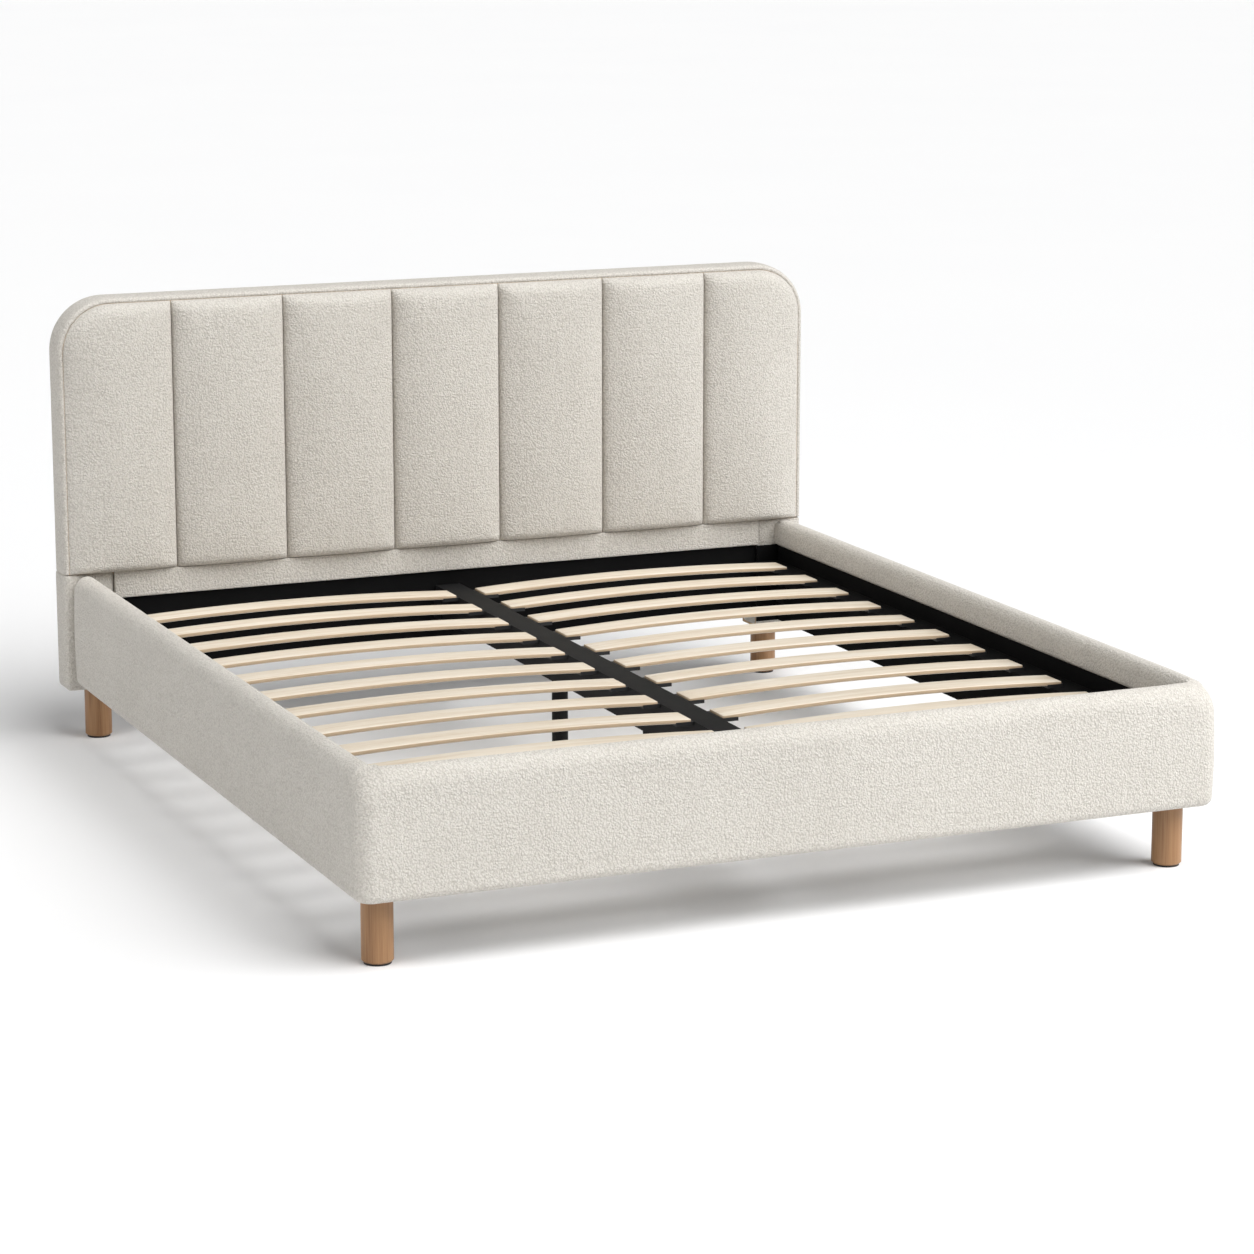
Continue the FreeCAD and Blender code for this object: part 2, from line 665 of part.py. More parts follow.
def draw_bowed_strip(sketch, low, high):
    """Two arcs with the same crown, one slat thickness apart, closed by square ends."""
    first = sketch.GeometryCount
    crown = "sizes.slat_crown"
    for height in ("layout.slat_under", "sizes.slat_top"):
        start = FreeCAD.Vector(value(low), value(height), 0)
        finish = FreeCAD.Vector(value(high), value(height), 0)
        middle = (start + finish) * 0.5 + FreeCAD.Vector(0, value(crown), 0)
        sketch.addGeometry(Part.Arc(start, middle, finish), False)
    for across in (low, high):
        bottom = FreeCAD.Vector(value(across), value("layout.slat_under"), 0)
        top = FreeCAD.Vector(value(across), value("sizes.slat_top"), 0)
        sketch.addGeometry(Part.LineSegment(bottom, top), False)
    radius = "((%s) - (%s)) ^ 2 / (8 * %s) + %s / 2" % (high, low, crown, crown)
    # an arc that runs clockwise is stored with its ends exchanged
    for arc, height in ((first, "layout.slat_under"), (first + 1, "sizes.slat_top")):
        starts_low = abs(sketch.getPoint(arc, 1).x - value(low)) < 0.01
        low_point, high_point = (1, 2) if starts_low else (2, 1)
        end = 1 if height == "layout.slat_under" else 2
        sketch.addConstraint(Sketcher.Constraint("Coincident", arc, low_point, first + 2, end))
        sketch.addConstraint(Sketcher.Constraint("Coincident", arc, high_point, first + 3, end))
        number = sketch.addConstraint(Sketcher.Constraint("Radius", arc, value(radius)))
        sketch.setExpression("Constraints[%d]" % number, radius)
    for line, across in ((first + 2, low), (first + 3, high)):
        for end, height in ((1, "layout.slat_under"), (2, "sizes.slat_top")):
            bind(sketch, "DistanceX", line, end, across)
            bind(sketch, "DistanceY", line, end, height)


def row_y(index):
    """The middle of a row of slats, counted from the foot."""
    return "layout.foot_in_y + sizes.slat_first + %d * layout.slat_pitch" % index


def slat_rows():
    profile = slat_profile()
    for index in range(int(value("sizes.slat_count"))):
        label = "slat_row_%02d" % (index + 1)
        row = doc.addObject("Part::Extrusion", label)
        row.Base = profile
        row.DirMode = "Custom"
        row.Dir = AXIS_Y
        row.Solid = True
        row.setExpression("LengthFwd", "sizes.slat_width")
        row.setExpression("Placement.Base.y", "%s - sizes.slat_width / 2" % row_y(index))
        keep(row, label)


def shoe(name, sign, wall_from, wall_to, reach, index):
    """A low plastic seat for one slat end: floor, end wall and two cheeks."""
    half = "(sizes.slat_width / 2 + sizes.shoe_play)"
    outer = "(%s + sizes.shoe_cheek)" % half
    middle = row_y(index)
    low, high = sorted((wall_from, reach), key=value)
    blank = box(name + "_blank", span(sign, low, high),
                ("%s - %s" % (middle, outer), "%s + %s" % (middle, outer)),
                ("layout.ledge_top", "layout.shoe_seat + sizes.shoe_lip"))
    inner_low, inner_high = sorted((wall_to, reach), key=value)
    over = "1"
    if inner_high == reach:
        seat_x = span(sign, inner_low, "%s + %s" % (inner_high, over))
    else:
        seat_x = span(sign, "%s - %s" % (inner_low, over), inner_high)
    seat = box(name + "_seat", seat_x,
               ("%s - %s" % (middle, half), "%s + %s" % (middle, half)),
               ("layout.shoe_seat", "layout.shoe_seat + sizes.shoe_lip + 1"))
    return cut(name, blank, [seat])


def slat_shoes():
    side_shoes = []
    centre_shoes = []
    for index in range(int(value("sizes.slat_count"))):
        for side, sign in SIDES.items():
            tag = "%s_%d" % (side, index + 1)
            side_wall = "layout.slat_out_x + sizes.seat_gap"
            side_shoes.append(shoe("side_shoe_" + tag, sign, side_wall + " + sizes.shoe_wall",
                                   side_wall, "layout.slat_out_x - sizes.shoe_length", index))
            centre_shoes.append(shoe("centre_shoe_" + tag, sign, "layout.centre_x",
                                     "layout.slat_in_x - sizes.seat_gap",
                                     "layout.slat_in_x + sizes.shoe_length", index))
    keep(group("side_shoes", side_shoes), "slat_holders_side")
    keep(group("centre_shoes", centre_shoes), "slat_holders_centre")


# ---------------------------------------------------------------- centre rail

def centre_rail():
    """A rectangular steel tube that hangs in a cradle at each end."""
    body = new_body("centre_rail")
    wall = "sizes.centre_wall"
    outer = rectangle(("-layout.centre_x", "layout.centre_x"),
                      ("layout.centre_under", "sizes.centre_top"))
    inner = rectangle(("-layout.centre_x + " + wall, "layout.centre_x - " + wall),
                      ("layout.centre_under + " + wall, "sizes.centre_top - " + wall))
    start = "layout.foot_board_in_y + sizes.hanger_thick + sizes.hanger_play"
    finish = "layout.head_rail_y - sizes.hanger_thick - sizes.hanger_play"
    pad(body, "centre_tube", "XZ_Plane", [outer, inner], start,
        "(%s) - (%s)" % (finish, start))
    keep(body, "centre_rail")

    cradles = []
    across = "(layout.centre_x + sizes.hanger_play + sizes.hanger_thick)"
    room = "(layout.centre_x + sizes.hanger_play)"
    floor = "layout.centre_under - sizes.hanger_thick"
    for end, plane, direction in (("foot", "layout.foot_board_in_y", 1),
                                  ("head", "layout.head_rail_y", -1)):
        reach = "%s + (%d) * sizes.hanger_length" % (plane, direction)
        back = "%s + (%d) * sizes.hanger_thick" % (plane, direction)
        beyond = "%s + (%d) * (sizes.hanger_length + 1)" % (plane, direction)
        blank = box("cradle_blank_" + end, ("-" + across, across),
                    (plane, reach) if direction > 0 else (reach, plane),
                    (floor, floor + " + sizes.hanger_lip"))
        space = box("cradle_space_" + end, ("-" + room, room),
                    (back, beyond) if direction > 0 else (beyond, back),
                    ("layout.centre_under", floor + " + sizes.hanger_lip + 1"))
        cradles.append(cut("cradle_" + end, blank, [space]))
    keep(group("cradles", cradles), "centre_rail_hangers")


def centre_supports():
    """Two round support legs; each stands on a screwed stud with a round pad."""
    for number, direction in ((1, -1), (2, 1)):
        y = "layout.middle_y + (%d) * sizes.support_offset" % direction
        plate_low = "layout.centre_under - sizes.plate_thick"
        plate = box("support_plate_%d" % number,
                    ("-sizes.plate_wide / 2", "sizes.plate_wide / 2"),
                    ("%s - sizes.plate_long / 2" % y, "%s + sizes.plate_long / 2" % y),
                    (plate_low, "layout.centre_under"))
        tube = rod("support_tube_%d" % number, "sizes.support_dia", ("0", y, "sizes.support_lift"),
                   AXIS_Z, "%s - sizes.support_lift" % plate_low)
        hollow = rod("support_hollow_%d" % number, "sizes.support_dia - 2 * sizes.support_wall",
                     ("0", y, "sizes.support_lift + sizes.support_plug"), AXIS_Z,
                     "%s - sizes.support_lift - sizes.support_plug" % plate_low)
        bore = rod("support_bore_%d" % number, "sizes.stud_dia + 2 * sizes.stud_play",
                   ("0", y, "sizes.support_lift - 1"), AXIS_Z, "sizes.support_plug + 2")
        leg = cut("support_leg_%d" % number, fuse("support_blank_%d" % number, [plate, tube]),
                  [hollow, bore])
        keep(leg, "centre_leg_%d" % number)

        socket_floor = "sizes.foot_pad_thick - sizes.stud_socket"
        shank = rod("stud_shank_%d" % number, "sizes.stud_dia", ("0", y, socket_floor),
                    AXIS_Z, "sizes.stud_top - (%s)" % socket_floor)
        hexagon = doc.addObject("Part::Prism", "stud_hexagon_%d" % number)
        hexagon.Polygon = 6
        hexagon.setExpression("Circumradius", "sizes.stud_hex / (2 * cos(30))")
        hexagon.setExpression("Height", "sizes.stud_hex_thick")
        hexagon.setExpression("Placement.Base.y", y)
        hexagon.setExpression("Placement.Base.z", "sizes.foot_pad_thick + sizes.stud_play")
        keep(fuse("stud_%d" % number, [shank, hexagon]), "levelling_stud_%d" % number)

        disc = rod("pad_disc_%d" % number, "sizes.foot_pad_dia", ("0", y, "0"), AXIS_Z,
                   "sizes.foot_pad_thick")
        socket = rod("pad_socket_%d" % number, "sizes.stud_dia + 2 * sizes.stud_play",
                     ("0", y, socket_floor), AXIS_Z, "sizes.stud_socket + 1")
        drilled = cut("pad_drilled_%d" % number, disc, [socket])
        keep(drilled, "levelling_pad_%d" % number)


# ---------------------------------------------------------------- legs

LEG_PLACES = {
    "front_left": (-1, "layout.leg_foot_y", "sizes.rail_bottom"),
    "front_right": (1, "layout.leg_foot_y", "sizes.rail_bottom"),
    "rear_left": (-1, "layout.leg_head_y", "sizes.wing_bottom"),
    "rear_right": (1, "layout.leg_head_y", "sizes.wing_bottom"),
}


def leg_blank(place, sign, y, top):
    """A turned round leg: a sketch of half its outline, revolved about its axis."""
    body = new_body("leg_" + place)
    sketch = add_sketch(body, "leg_outline_" + place, "XZ_Plane")
    radius = "sizes.leg_dia / 2"
    bore = "(%s) / 2" % HOLE
    draw(sketch, [
        ("0", "sizes.glide_thick"),
        (radius + " - sizes.leg_bevel", "sizes.glide_thick"),
        (radius, "sizes.glide_thick + sizes.leg_bevel"),
        (radius, top), (bore, top),
        (bore, "%s - sizes.hanger_bolt_down - 1" % top),
        ("0", "%s - sizes.hanger_bolt_down - 1" % top),
    ])
    turned = body.newObject("PartDesign::Revolution", "leg_turned_" + place)
    turned.Profile = sketch
    turned.ReferenceAxis = (sketch, ["V_Axis"])
    turned.Angle = 360
    body.setExpression("Placement.Base.x", signed(sign, "layout.leg_x"))
    body.setExpression("Placement.Base.y", y)
    doc.recompute()
    return body


def legs():
    plates = []
    bolts = []
    glides = []
    for place, (sign, y, top) in LEG_PLACES.items():
        keep(leg_blank(place, sign, y, top), "leg_" + place)
        x = signed(sign, "layout.leg_x")
        half = "sizes.leg_plate / 2"
        square = box("plate_blank_" + place, ("%s - %s" % (x, half), "%s + %s" % (x, half)),
                     ("%s - %s" % (y, half), "%s + %s" % (y, half)),
                     (top, "%s + sizes.leg_plate_thick" % top))
        hole = rod("plate_hole_" + place, HOLE, (x, y, "%s - 1" % top), AXIS_Z,
                   "sizes.leg_plate_thick + 2")
        plates.append(cut("plate_" + place, square, [hole]))
        bolts.append(rod("hanger_bolt_" + place, "sizes.bolt_dia",
                         (x, y, "%s - sizes.hanger_bolt_down" % top), AXIS_Z,
                         "sizes.hanger_bolt_down + sizes.hanger_bolt_up"))
        glides.append(rod("glide_" + place, "sizes.glide_dia", (x, y, "0"), AXIS_Z,
                          "sizes.glide_thick"))
    keep(group("plates", plates), "leg_plates")
    keep(group("hanger_bolts", bolts), "leg_hanger_bolts")
    keep(group("glides", glides), "leg_glides")


# ---------------------------------------------------------------- build and write

def check_document():
    """Stop if any object failed, or if a sub-part has no sound solid."""
    for feature in doc.Objects:
        if "Invalid" in feature.State or "Error" in feature.State:
            raise RuntimeError("failed object: " + feature.Name)
    for feature in parts:
        shape = feature.Shape
        if shape.isNull() or not shape.isValid() or not shape.Solids:
            raise RuntimeError("unsound sub-part: " + feature.Label)


def main():
    side_rails()
    foot_rail()
    corner_blocks()
    corner_brackets()
    corner_bolts()
    headboard_frame(frame_outline())
    headboard_sheets()
    headboard_border()
    headboard_channels()
    wings()
    head_crosspiece()
    slat_rows()
    slat_shoes()
    centre_rail()
    centre_supports()
    legs()
    doc.recompute()
    check_document()
    os.makedirs(OUTPUT_FOLDER, exist_ok=True)
    for feature in parts:
        feature.Shape.exportStep(os.path.join(OUTPUT_FOLDER, feature.Label + ".step"))
    print("sub-parts written:", len(parts))


main()
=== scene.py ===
import json
import math

import bpy
import numpy as np
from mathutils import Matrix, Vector


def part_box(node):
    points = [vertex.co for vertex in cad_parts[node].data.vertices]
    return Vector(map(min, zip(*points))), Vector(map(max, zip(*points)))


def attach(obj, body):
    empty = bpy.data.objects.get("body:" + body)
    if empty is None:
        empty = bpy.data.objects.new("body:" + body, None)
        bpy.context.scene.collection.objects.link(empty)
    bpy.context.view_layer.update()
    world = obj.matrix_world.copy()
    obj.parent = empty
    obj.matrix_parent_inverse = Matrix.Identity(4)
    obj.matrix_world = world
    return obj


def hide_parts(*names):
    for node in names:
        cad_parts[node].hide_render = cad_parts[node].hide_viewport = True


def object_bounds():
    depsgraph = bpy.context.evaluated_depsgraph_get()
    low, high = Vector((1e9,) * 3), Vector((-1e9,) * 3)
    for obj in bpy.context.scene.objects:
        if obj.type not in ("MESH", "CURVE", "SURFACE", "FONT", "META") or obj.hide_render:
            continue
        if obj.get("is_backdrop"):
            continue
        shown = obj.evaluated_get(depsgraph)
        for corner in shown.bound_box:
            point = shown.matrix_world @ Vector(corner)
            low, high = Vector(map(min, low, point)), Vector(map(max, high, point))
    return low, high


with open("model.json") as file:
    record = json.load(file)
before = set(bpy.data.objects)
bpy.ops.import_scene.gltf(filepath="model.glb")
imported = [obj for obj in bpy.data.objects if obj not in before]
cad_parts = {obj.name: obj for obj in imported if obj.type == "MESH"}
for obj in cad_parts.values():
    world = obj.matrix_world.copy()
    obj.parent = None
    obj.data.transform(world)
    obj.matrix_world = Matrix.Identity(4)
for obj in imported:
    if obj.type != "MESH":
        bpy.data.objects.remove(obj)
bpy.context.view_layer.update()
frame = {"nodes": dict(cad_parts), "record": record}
BODY = "bed_frame"
scene = bpy.context.scene

# lengths are in metres; X runs across the bed, Y from the foot to the headboard, Z up


# ---------------------------------------------------------------- materials

class Nodes:
    """Short calls for making a shader tree."""

    def __init__(self, name):
        self.material = bpy.data.materials.new(name)
        self.material.use_nodes = True
        self.tree = self.material.node_tree
        self.shader = self.tree.nodes["Principled BSDF"]
        self.place = self.add("ShaderNodeTexCoord").outputs["Object"]

    def add(self, kind, **settings):
        node = self.tree.nodes.new(kind)
        for key, value in settings.items():
            setattr(node, key, value)
        return node

    def put(self, socket, source):
        if isinstance(source, bpy.types.NodeSocket):
            self.tree.links.new(source, socket)
        else:
            socket.default_value = source

    def scaled(self, size, source=None):
        node = self.add("ShaderNodeVectorMath", operation="MULTIPLY")
        self.put(node.inputs[0], source or self.place)
        self.put(node.inputs[1], size)
        return node.outputs[0]

    def maths(self, operation, a, b=0.0, c=0.0, clamp=False):
        node = self.add("ShaderNodeMath", operation=operation, use_clamp=clamp)
        for socket, source in zip(node.inputs, (a, b, c)):
            self.put(socket, source)
        return node.outputs[0]

    def noise(self, scale, detail=2.0, rough=0.5, source=None, colour=False, twist=0.0):
        node = self.add("ShaderNodeTexNoise")
        self.put(node.inputs["Distortion"], twist)
        self.put(node.inputs["Vector"], source or self.place)
        self.put(node.inputs["Scale"], scale)
        self.put(node.inputs["Detail"], detail)
        self.put(node.inputs["Roughness"], rough)
        return node.outputs["Color" if colour else "Fac"]

    def cells(self, scale, source=None):
        node = self.add("ShaderNodeTexVoronoi", feature="F1")
        self.put(node.inputs["Vector"], source or self.place)
        self.put(node.inputs["Scale"], scale)
        return node.outputs["Distance"]

    def ramp(self, source, *stops):
        node = self.add("ShaderNodeValToRGB")
        self.put(node.inputs["Fac"], source)
        while len(node.color_ramp.elements) < len(stops):
            node.color_ramp.elements.new(0.5)
        for element, (where, colour) in zip(node.color_ramp.elements, stops):
            element.position = where
            element.color = (*colour, 1.0)
        return node.outputs["Color"]

    def mix(self, fac, a, b, how="MIX"):
        node = self.add("ShaderNodeMix", data_type="RGBA", blend_type=how)
        self.put(node.inputs["Factor"], fac)
        self.put(node.inputs["A"], a if isinstance(a, bpy.types.NodeSocket) else (*a, 1.0))
        self.put(node.inputs["B"], b if isinstance(b, bpy.types.NodeSocket) else (*b, 1.0))
        return node.outputs["Result"]

    def warped(self, scale, amount, source=None):
        """The place, shaken by a noise so that a pattern isn't ruler straight."""
        shake = self.add("ShaderNodeVectorMath", operation="MULTIPLY_ADD")
        self.put(shake.inputs[0], self.noise(scale, 1.0, colour=True))
        self.put(shake.inputs[1], (amount,) * 3)
        self.put(shake.inputs[2], source or self.place)
        return shake.outputs[0]

    def bump(self, height, distance, strength=1.0):
        node = self.add("ShaderNodeBump")
        self.put(node.inputs["Height"], height)
        self.put(node.inputs["Distance"], distance)
        self.put(node.inputs["Strength"], strength)
        self.put(self.shader.inputs["Normal"], node.outputs["Normal"])

    def shade(self, **values):
        for key, value in values.items():
            self.put(self.shader.inputs[key.replace("_", " ")], value)
        return self.material


def cream_fabric():
    """A thick crepe weave: small crimped bumps over fine threads, with faint slubs, and painted shade
    in its hollows.
    """
    n = Nodes("cream_crepe_weave")
    bumps = n.cells(215.0, n.warped(120.0, 0.0060))
    bumps = n.maths("SUBTRACT", 1.0, n.maths("MULTIPLY", bumps, 1.25), clamp=True)
    fine = n.noise(520.0, 1.0, 0.5)
    slub_x = n.noise(1.0, 1.0, 0.5, n.scaled((16.0, 16.0, 230.0)))
    slub_z = n.noise(1.0, 1.0, 0.5, n.scaled((220.0, 220.0, 14.0)))
    slub = n.maths("ADD", slub_x, slub_z)
    height = n.maths("MULTIPLY_ADD", bumps, 0.85, n.maths("MULTIPLY", fine, 0.25))
    height = n.maths("MULTIPLY_ADD", slub, 0.28, height)
    # the colour follows the height of the bumps and fine threads, so the hollows of the weave are
    # painted darker: painted shade in the crevices. The slubs and slow patches are the yarn's own tone
    # changes.
    tone = n.maths("MULTIPLY_ADD", bumps, 0.46, n.maths("MULTIPLY", fine, 0.20))
    tone = n.maths("MULTIPLY_ADD", slub, 0.16, tone)
    patch = n.noise(5.0, 2.0, 0.55)
    tone = n.maths("MULTIPLY_ADD", patch, 0.14, tone)
    colour = n.ramp(tone, (0.30, (0.528, 0.497, 0.450)), (0.56, (0.646, 0.614, 0.561)),
                    (0.80, (0.720, 0.690, 0.641)))
    n.bump(height, 0.0022, 1.0)
    return n.shade(Base_Color=colour, Roughness=0.95, Sheen_Weight=0.10, Sheen_Roughness=0.5,
                   Sheen_Tint=(1.0, 1.0, 1.0, 1.0), Specular_IOR_Level=0.15)


def timber(name, light, dark, grain, roughness, along, coat=0.0):
    """Wood with its grain along one axis: growth bands, fine pores and a slow tone change."""
    n = Nodes(name)
    stretch = [grain] * 3
    stretch["XYZ".index(along)] = grain * 0.045
    flow = n.warped(6.0, 0.010)
    bands = n.noise(1.0, 4.0, 0.62, n.scaled(tuple(stretch), flow))
    fine = [grain * 9.0] * 3
    fine["XYZ".index(along)] = grain * 0.16
    pores = n.noise(1.0, 2.0, 0.5, n.scaled(tuple(fine)))
    slow = n.noise(3.5, 1.0, 0.5)
    tone = n.maths("MULTIPLY_ADD", pores, 0.32, n.maths("MULTIPLY", bands, 0.62))
    tone = n.maths("MULTIPLY_ADD", slow, 0.12, tone)
    middle = tuple((a * 0.6 + b * 0.4) for a, b in zip(light, dark))
    colour = n.ramp(tone, (0.36, dark), (0.50, middle), (0.66, light))
    n.bump(n.maths("MULTIPLY_ADD", pores, 0.7, n.maths("MULTIPLY", bands, 0.3)), 0.0004, 0.5)
    rough = n.maths("MULTIPLY_ADD", pores, 0.16, roughness - 0.08)
    return n.shade(Base_Color=colour, Roughness=rough, Coat_Weight=coat, Coat_Roughness=0.35)


def birch_slats():
    """Bent birch laminate: pale face grain along the slat, glued layers on the edges."""
    n = Nodes("birch_laminate")
    bands = n.noise(1.0, 3.0, 0.6, n.scaled((2.6, 60.0, 60.0), n.warped(5.0, 0.012)))
    pores = n.noise(1.0, 2.0, 0.5, n.scaled((22.0, 700.0, 700.0)))
    tone = n.maths("MULTIPLY_ADD", pores, 0.30, n.maths("MULTIPLY", bands, 0.70))
    face = n.ramp(tone, (0.34, (0.606, 0.502, 0.374)), (0.50, (0.696, 0.611, 0.492)),
                  (0.66, (0.758, 0.692, 0.592)))
    split = n.add("ShaderNodeSeparateXYZ")
    n.put(split.inputs[0], n.place)
    layers = n.maths("SINE", n.maths("MULTIPLY", split.outputs["Z"], 3900.0))
    layers = n.maths("MULTIPLY_ADD", layers, 0.5, 0.5)
    edge = n.mix(layers, (0.430, 0.305, 0.185), (0.600, 0.465, 0.320))
    turn = n.add("ShaderNodeSeparateXYZ")
    n.put(turn.inputs[0], n.add("ShaderNodeNewGeometry").outputs["Normal"])
    flat = n.maths("ABSOLUTE", turn.outputs["Z"])
    side = n.maths("MULTIPLY_ADD", flat, -2.4, 1.5, clamp=True)
    colour = n.mix(side, face, edge)
    n.bump(tone, 0.0004, 0.5)
    return n.shade(Base_Color=colour, Roughness=0.52)


def black_board():
    """Black non-woven lining over boards: matt, finely fibrous."""
    n = Nodes("black_lining")
    fibres = n.noise(520.0, 3.0, 0.7, n.warped(70.0, 0.004))
    slow = n.noise(9.0, 2.0)
    colour = n.ramp(n.maths("MULTIPLY_ADD", slow, 0.4, n.maths("MULTIPLY", fibres, 0.6)),
                    (0.30, (0.0022, 0.0022, 0.0023)), (0.75, (0.0056, 0.0055, 0.0056)))
    n.bump(fibres, 0.0006, 0.6)
    return n.shade(Base_Color=colour, Roughness=0.92, Specular_IOR_Level=0.12)


def plastic(name, colour, roughness):
    """Moulded plastic with a fine spark-eroded texture."""
    n = Nodes(name)
    grain = n.noise(1500.0, 2.0, 0.6)
    slow = n.noise(14.0, 2.0)
    dark = tuple(c * 0.72 for c in colour)
    n.bump(grain, 0.00025, 0.5)
    return n.shade(Base_Color=n.ramp(slow, (0.35, dark), (0.65, colour)),
                   Roughness=n.maths("MULTIPLY_ADD", grain, 0.15, roughness - 0.07))


def coated_steel():
    """Black powder-coated steel: low gloss with an orange-peel skin."""
    n = Nodes("black_powder_coat")
    peel = n.cells(620.0)
    slow = n.noise(11.0, 2.0)
    n.bump(peel, 0.0002, 0.45)
    colour = n.ramp(slow, (0.3, (0.0070, 0.0070, 0.0072)), (0.7, (0.0105, 0.0105, 0.0107)))
    return n.shade(Base_Color=colour, Roughness=n.maths("MULTIPLY_ADD", slow, 0.12, 0.58),
                   Specular_IOR_Level=0.18)


def zinc():
    """Bright zinc-plated steel with drawn marks and small spangles."""
    n = Nodes("zinc_plate")
    drawn = n.noise(1.0, 2.0, 0.5, n.scaled((900.0, 900.0, 60.0)))
    spangle = n.cells(180.0)
    n.bump(drawn, 0.0001, 0.4)
    colour = n.ramp(spangle, (0.1, (0.52, 0.53, 0.55)), (0.8, (0.66, 0.66, 0.66)))
    return n.shade(Base_Color=colour, Metallic=1.0,
                   Roughness=n.maths("MULTIPLY_ADD", drawn, 0.2, 0.24))


MATERIALS = {
    "cream_fabric": cream_fabric(),
    "frame_timber": timber("pine_frame", light=(0.640, 0.450, 0.255), dark=(0.400, 0.240, 0.115),
                           grain=55.0, roughness=0.62, along="Z"),
    "plywood": timber("plywood_face", light=(0.600, 0.420, 0.250), dark=(0.400, 0.250, 0.130),
                      grain=24.0, roughness=0.60, along="X"),
    "black_board": black_board(),
    "birch_slat": birch_slats(),
    "black_plastic": plastic("black_nylon", (0.013, 0.013, 0.0135), 0.50),
    "black_steel": coated_steel(),
    "zinc_steel": zinc(),
    "oak": timber("oiled_oak", light=(0.410, 0.225, 0.103), dark=(0.215, 0.100, 0.038),
                  grain=42.0, roughness=0.46, along="Z", coat=0.06),
}

for entry in frame["record"]["subparts"]:
    piece = frame["nodes"][entry["node"]]
    piece.data.materials.clear()
    piece.data.materials.append(MATERIALS[entry["material_slot"]])


# ---------------------------------------------------------------- mesh helpers

def new_piece(name, points, faces, replaces, material="cream_fabric"):
    """A smooth mesh that rides on the bed frame in place of the CAD nodes in replaces."""
    mesh = bpy.data.meshes.new(name)
    mesh.from_pydata([tuple(p) for p in points], [], faces)
    mesh.validate()
    mesh.materials.append(MATERIALS[material])
    for polygon in mesh.polygons:
        polygon.use_smooth = True
    piece = bpy.data.objects.new(name, mesh)
    scene.collection.objects.link(piece)
    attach(piece, BODY)
    if replaces:
        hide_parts(*replaces)
    return piece


def grid_faces(rows, columns, first=0, close=False):
    """Quads of a grid stored row by row; close joins the last column to the first."""
    faces = []
    for r in range(rows - 1):
        for c in range(columns if close else columns - 1):
            d = (c + 1) % columns
            a = first + r * columns
            b = a + columns
            faces.append((a + c, a + d, b + d, b + c))
    return faces


def spread(length, start, end, step):
    """Offsets from 0 to length: the given ones near each end and even steps between."""
    last = [length - e for e in reversed(end)]
    room = last[0] - start[-1]
    count = max(1, round(room / step))
    middle = [start[-1] + room * k / count for k in range(1, count)]
    return np.array(list(start) + middle + last)


def round_off(distance, reach, power=2.0):
    """0 at an edge, 1 from reach inwards, with an elliptical shoulder."""
    t = np.clip(1.0 - distance / reach, 0.0, 1.0)
    return np.power(np.clip(1.0 - np.power(t, power), 0.0, 1.0), 1.0 / power)


SOFT = []
STEPS = 20
FABRIC_STIFFNESS = 18.0


def swell(piece, held, pressure, cap):
    """Queues a piece for the cloth simulation; held is 1 where the fabric is fixed."""
    SOFT.append((piece, np.asarray(held, float), pressure, cap))


def simulate():
    """Blows every queued piece up with air pressure, and keeps each point within its cap."""
    for piece, held, pressure, _ in SOFT:
        group = piece.vertex_groups.new(name="held")
        for level in np.unique(np.round(held, 2)):
            if level > 0:
                members = np.nonzero(np.abs(held - level) < 0.006)[0]
                group.add([int(v) for v in members], float(level), "REPLACE")
        cloth = piece.modifiers.new("cloth", "CLOTH")
        cloth.settings.quality = 5
        cloth.settings.mass = 0.35
        cloth.settings.tension_stiffness = FABRIC_STIFFNESS
        cloth.settings.compression_stiffness = FABRIC_STIFFNESS
        cloth.settings.shear_stiffness = 6.0
        cloth.settings.bending_stiffness = 2.5
        cloth.settings.vertex_group_mass = "held"
        cloth.settings.use_pressure = True
        cloth.settings.uniform_pressure_force = pressure
        cloth.settings.effector_weights.gravity = 0.0
        cloth.point_cache.frame_start = 1
        cloth.point_cache.frame_end = STEPS
    for step in range(1, STEPS + 1):
        scene.frame_set(step)
    depsgraph = bpy.context.evaluated_depsgraph_get()
    results = []
    for piece, _, _, cap in SOFT:
        moved = piece.evaluated_get(depsgraph).data
        count = len(piece.data.vertices)
        now, rest = np.zeros(count * 3), np.zeros(count * 3)
        moved.vertices.foreach_get("co", now)
        piece.data.vertices.foreach_get("co", rest)
        now, rest = now.reshape(-1, 3), rest.reshape(-1, 3)
        shift = now - rest
        size = np.linalg.norm(shift, axis=1, keepdims=True)
        shift *= np.tanh(size / cap) * cap / np.maximum(size, 1e-9)
        results.append((rest + shift).ravel())
    scene.frame_set(1)
    for (piece, *_), points in zip(SOFT, results):
        piece.modifiers.clear()
        piece.vertex_groups.clear()
        piece.data.vertices.foreach_set("co", points)
        piece.data.update()


def finish_soft(piece, levels=1):
    smooth = piece.modifiers.new("subdivision", "SUBSURF")
    smooth.levels = levels
    smooth.render_levels = levels


# ---------------------------------------------------------------- headboard channels

pad_low, pad_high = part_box("headboard_channel_1")
last_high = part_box("headboard_channel_7")[1]
# the plane where the channels are sewn down
SEAM_Y = pad_high.y
# the width of the border's lip round the channels
EDGE = 0.0130
PAD_LEFT, PAD_RIGHT = pad_low.x + EDGE, last_high.x - EDGE
PAD_BOTTOM, PAD_TOP = pad_low.z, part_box("headboard_channel_4")[1].z - EDGE
# the radius of the two top corners of the channels' outline
CORNER = 0.130 - EDGE
# how far a channel stands out in all, and how much of that is its crown
PAD_RISE = 0.036
CROWN = 0.0150
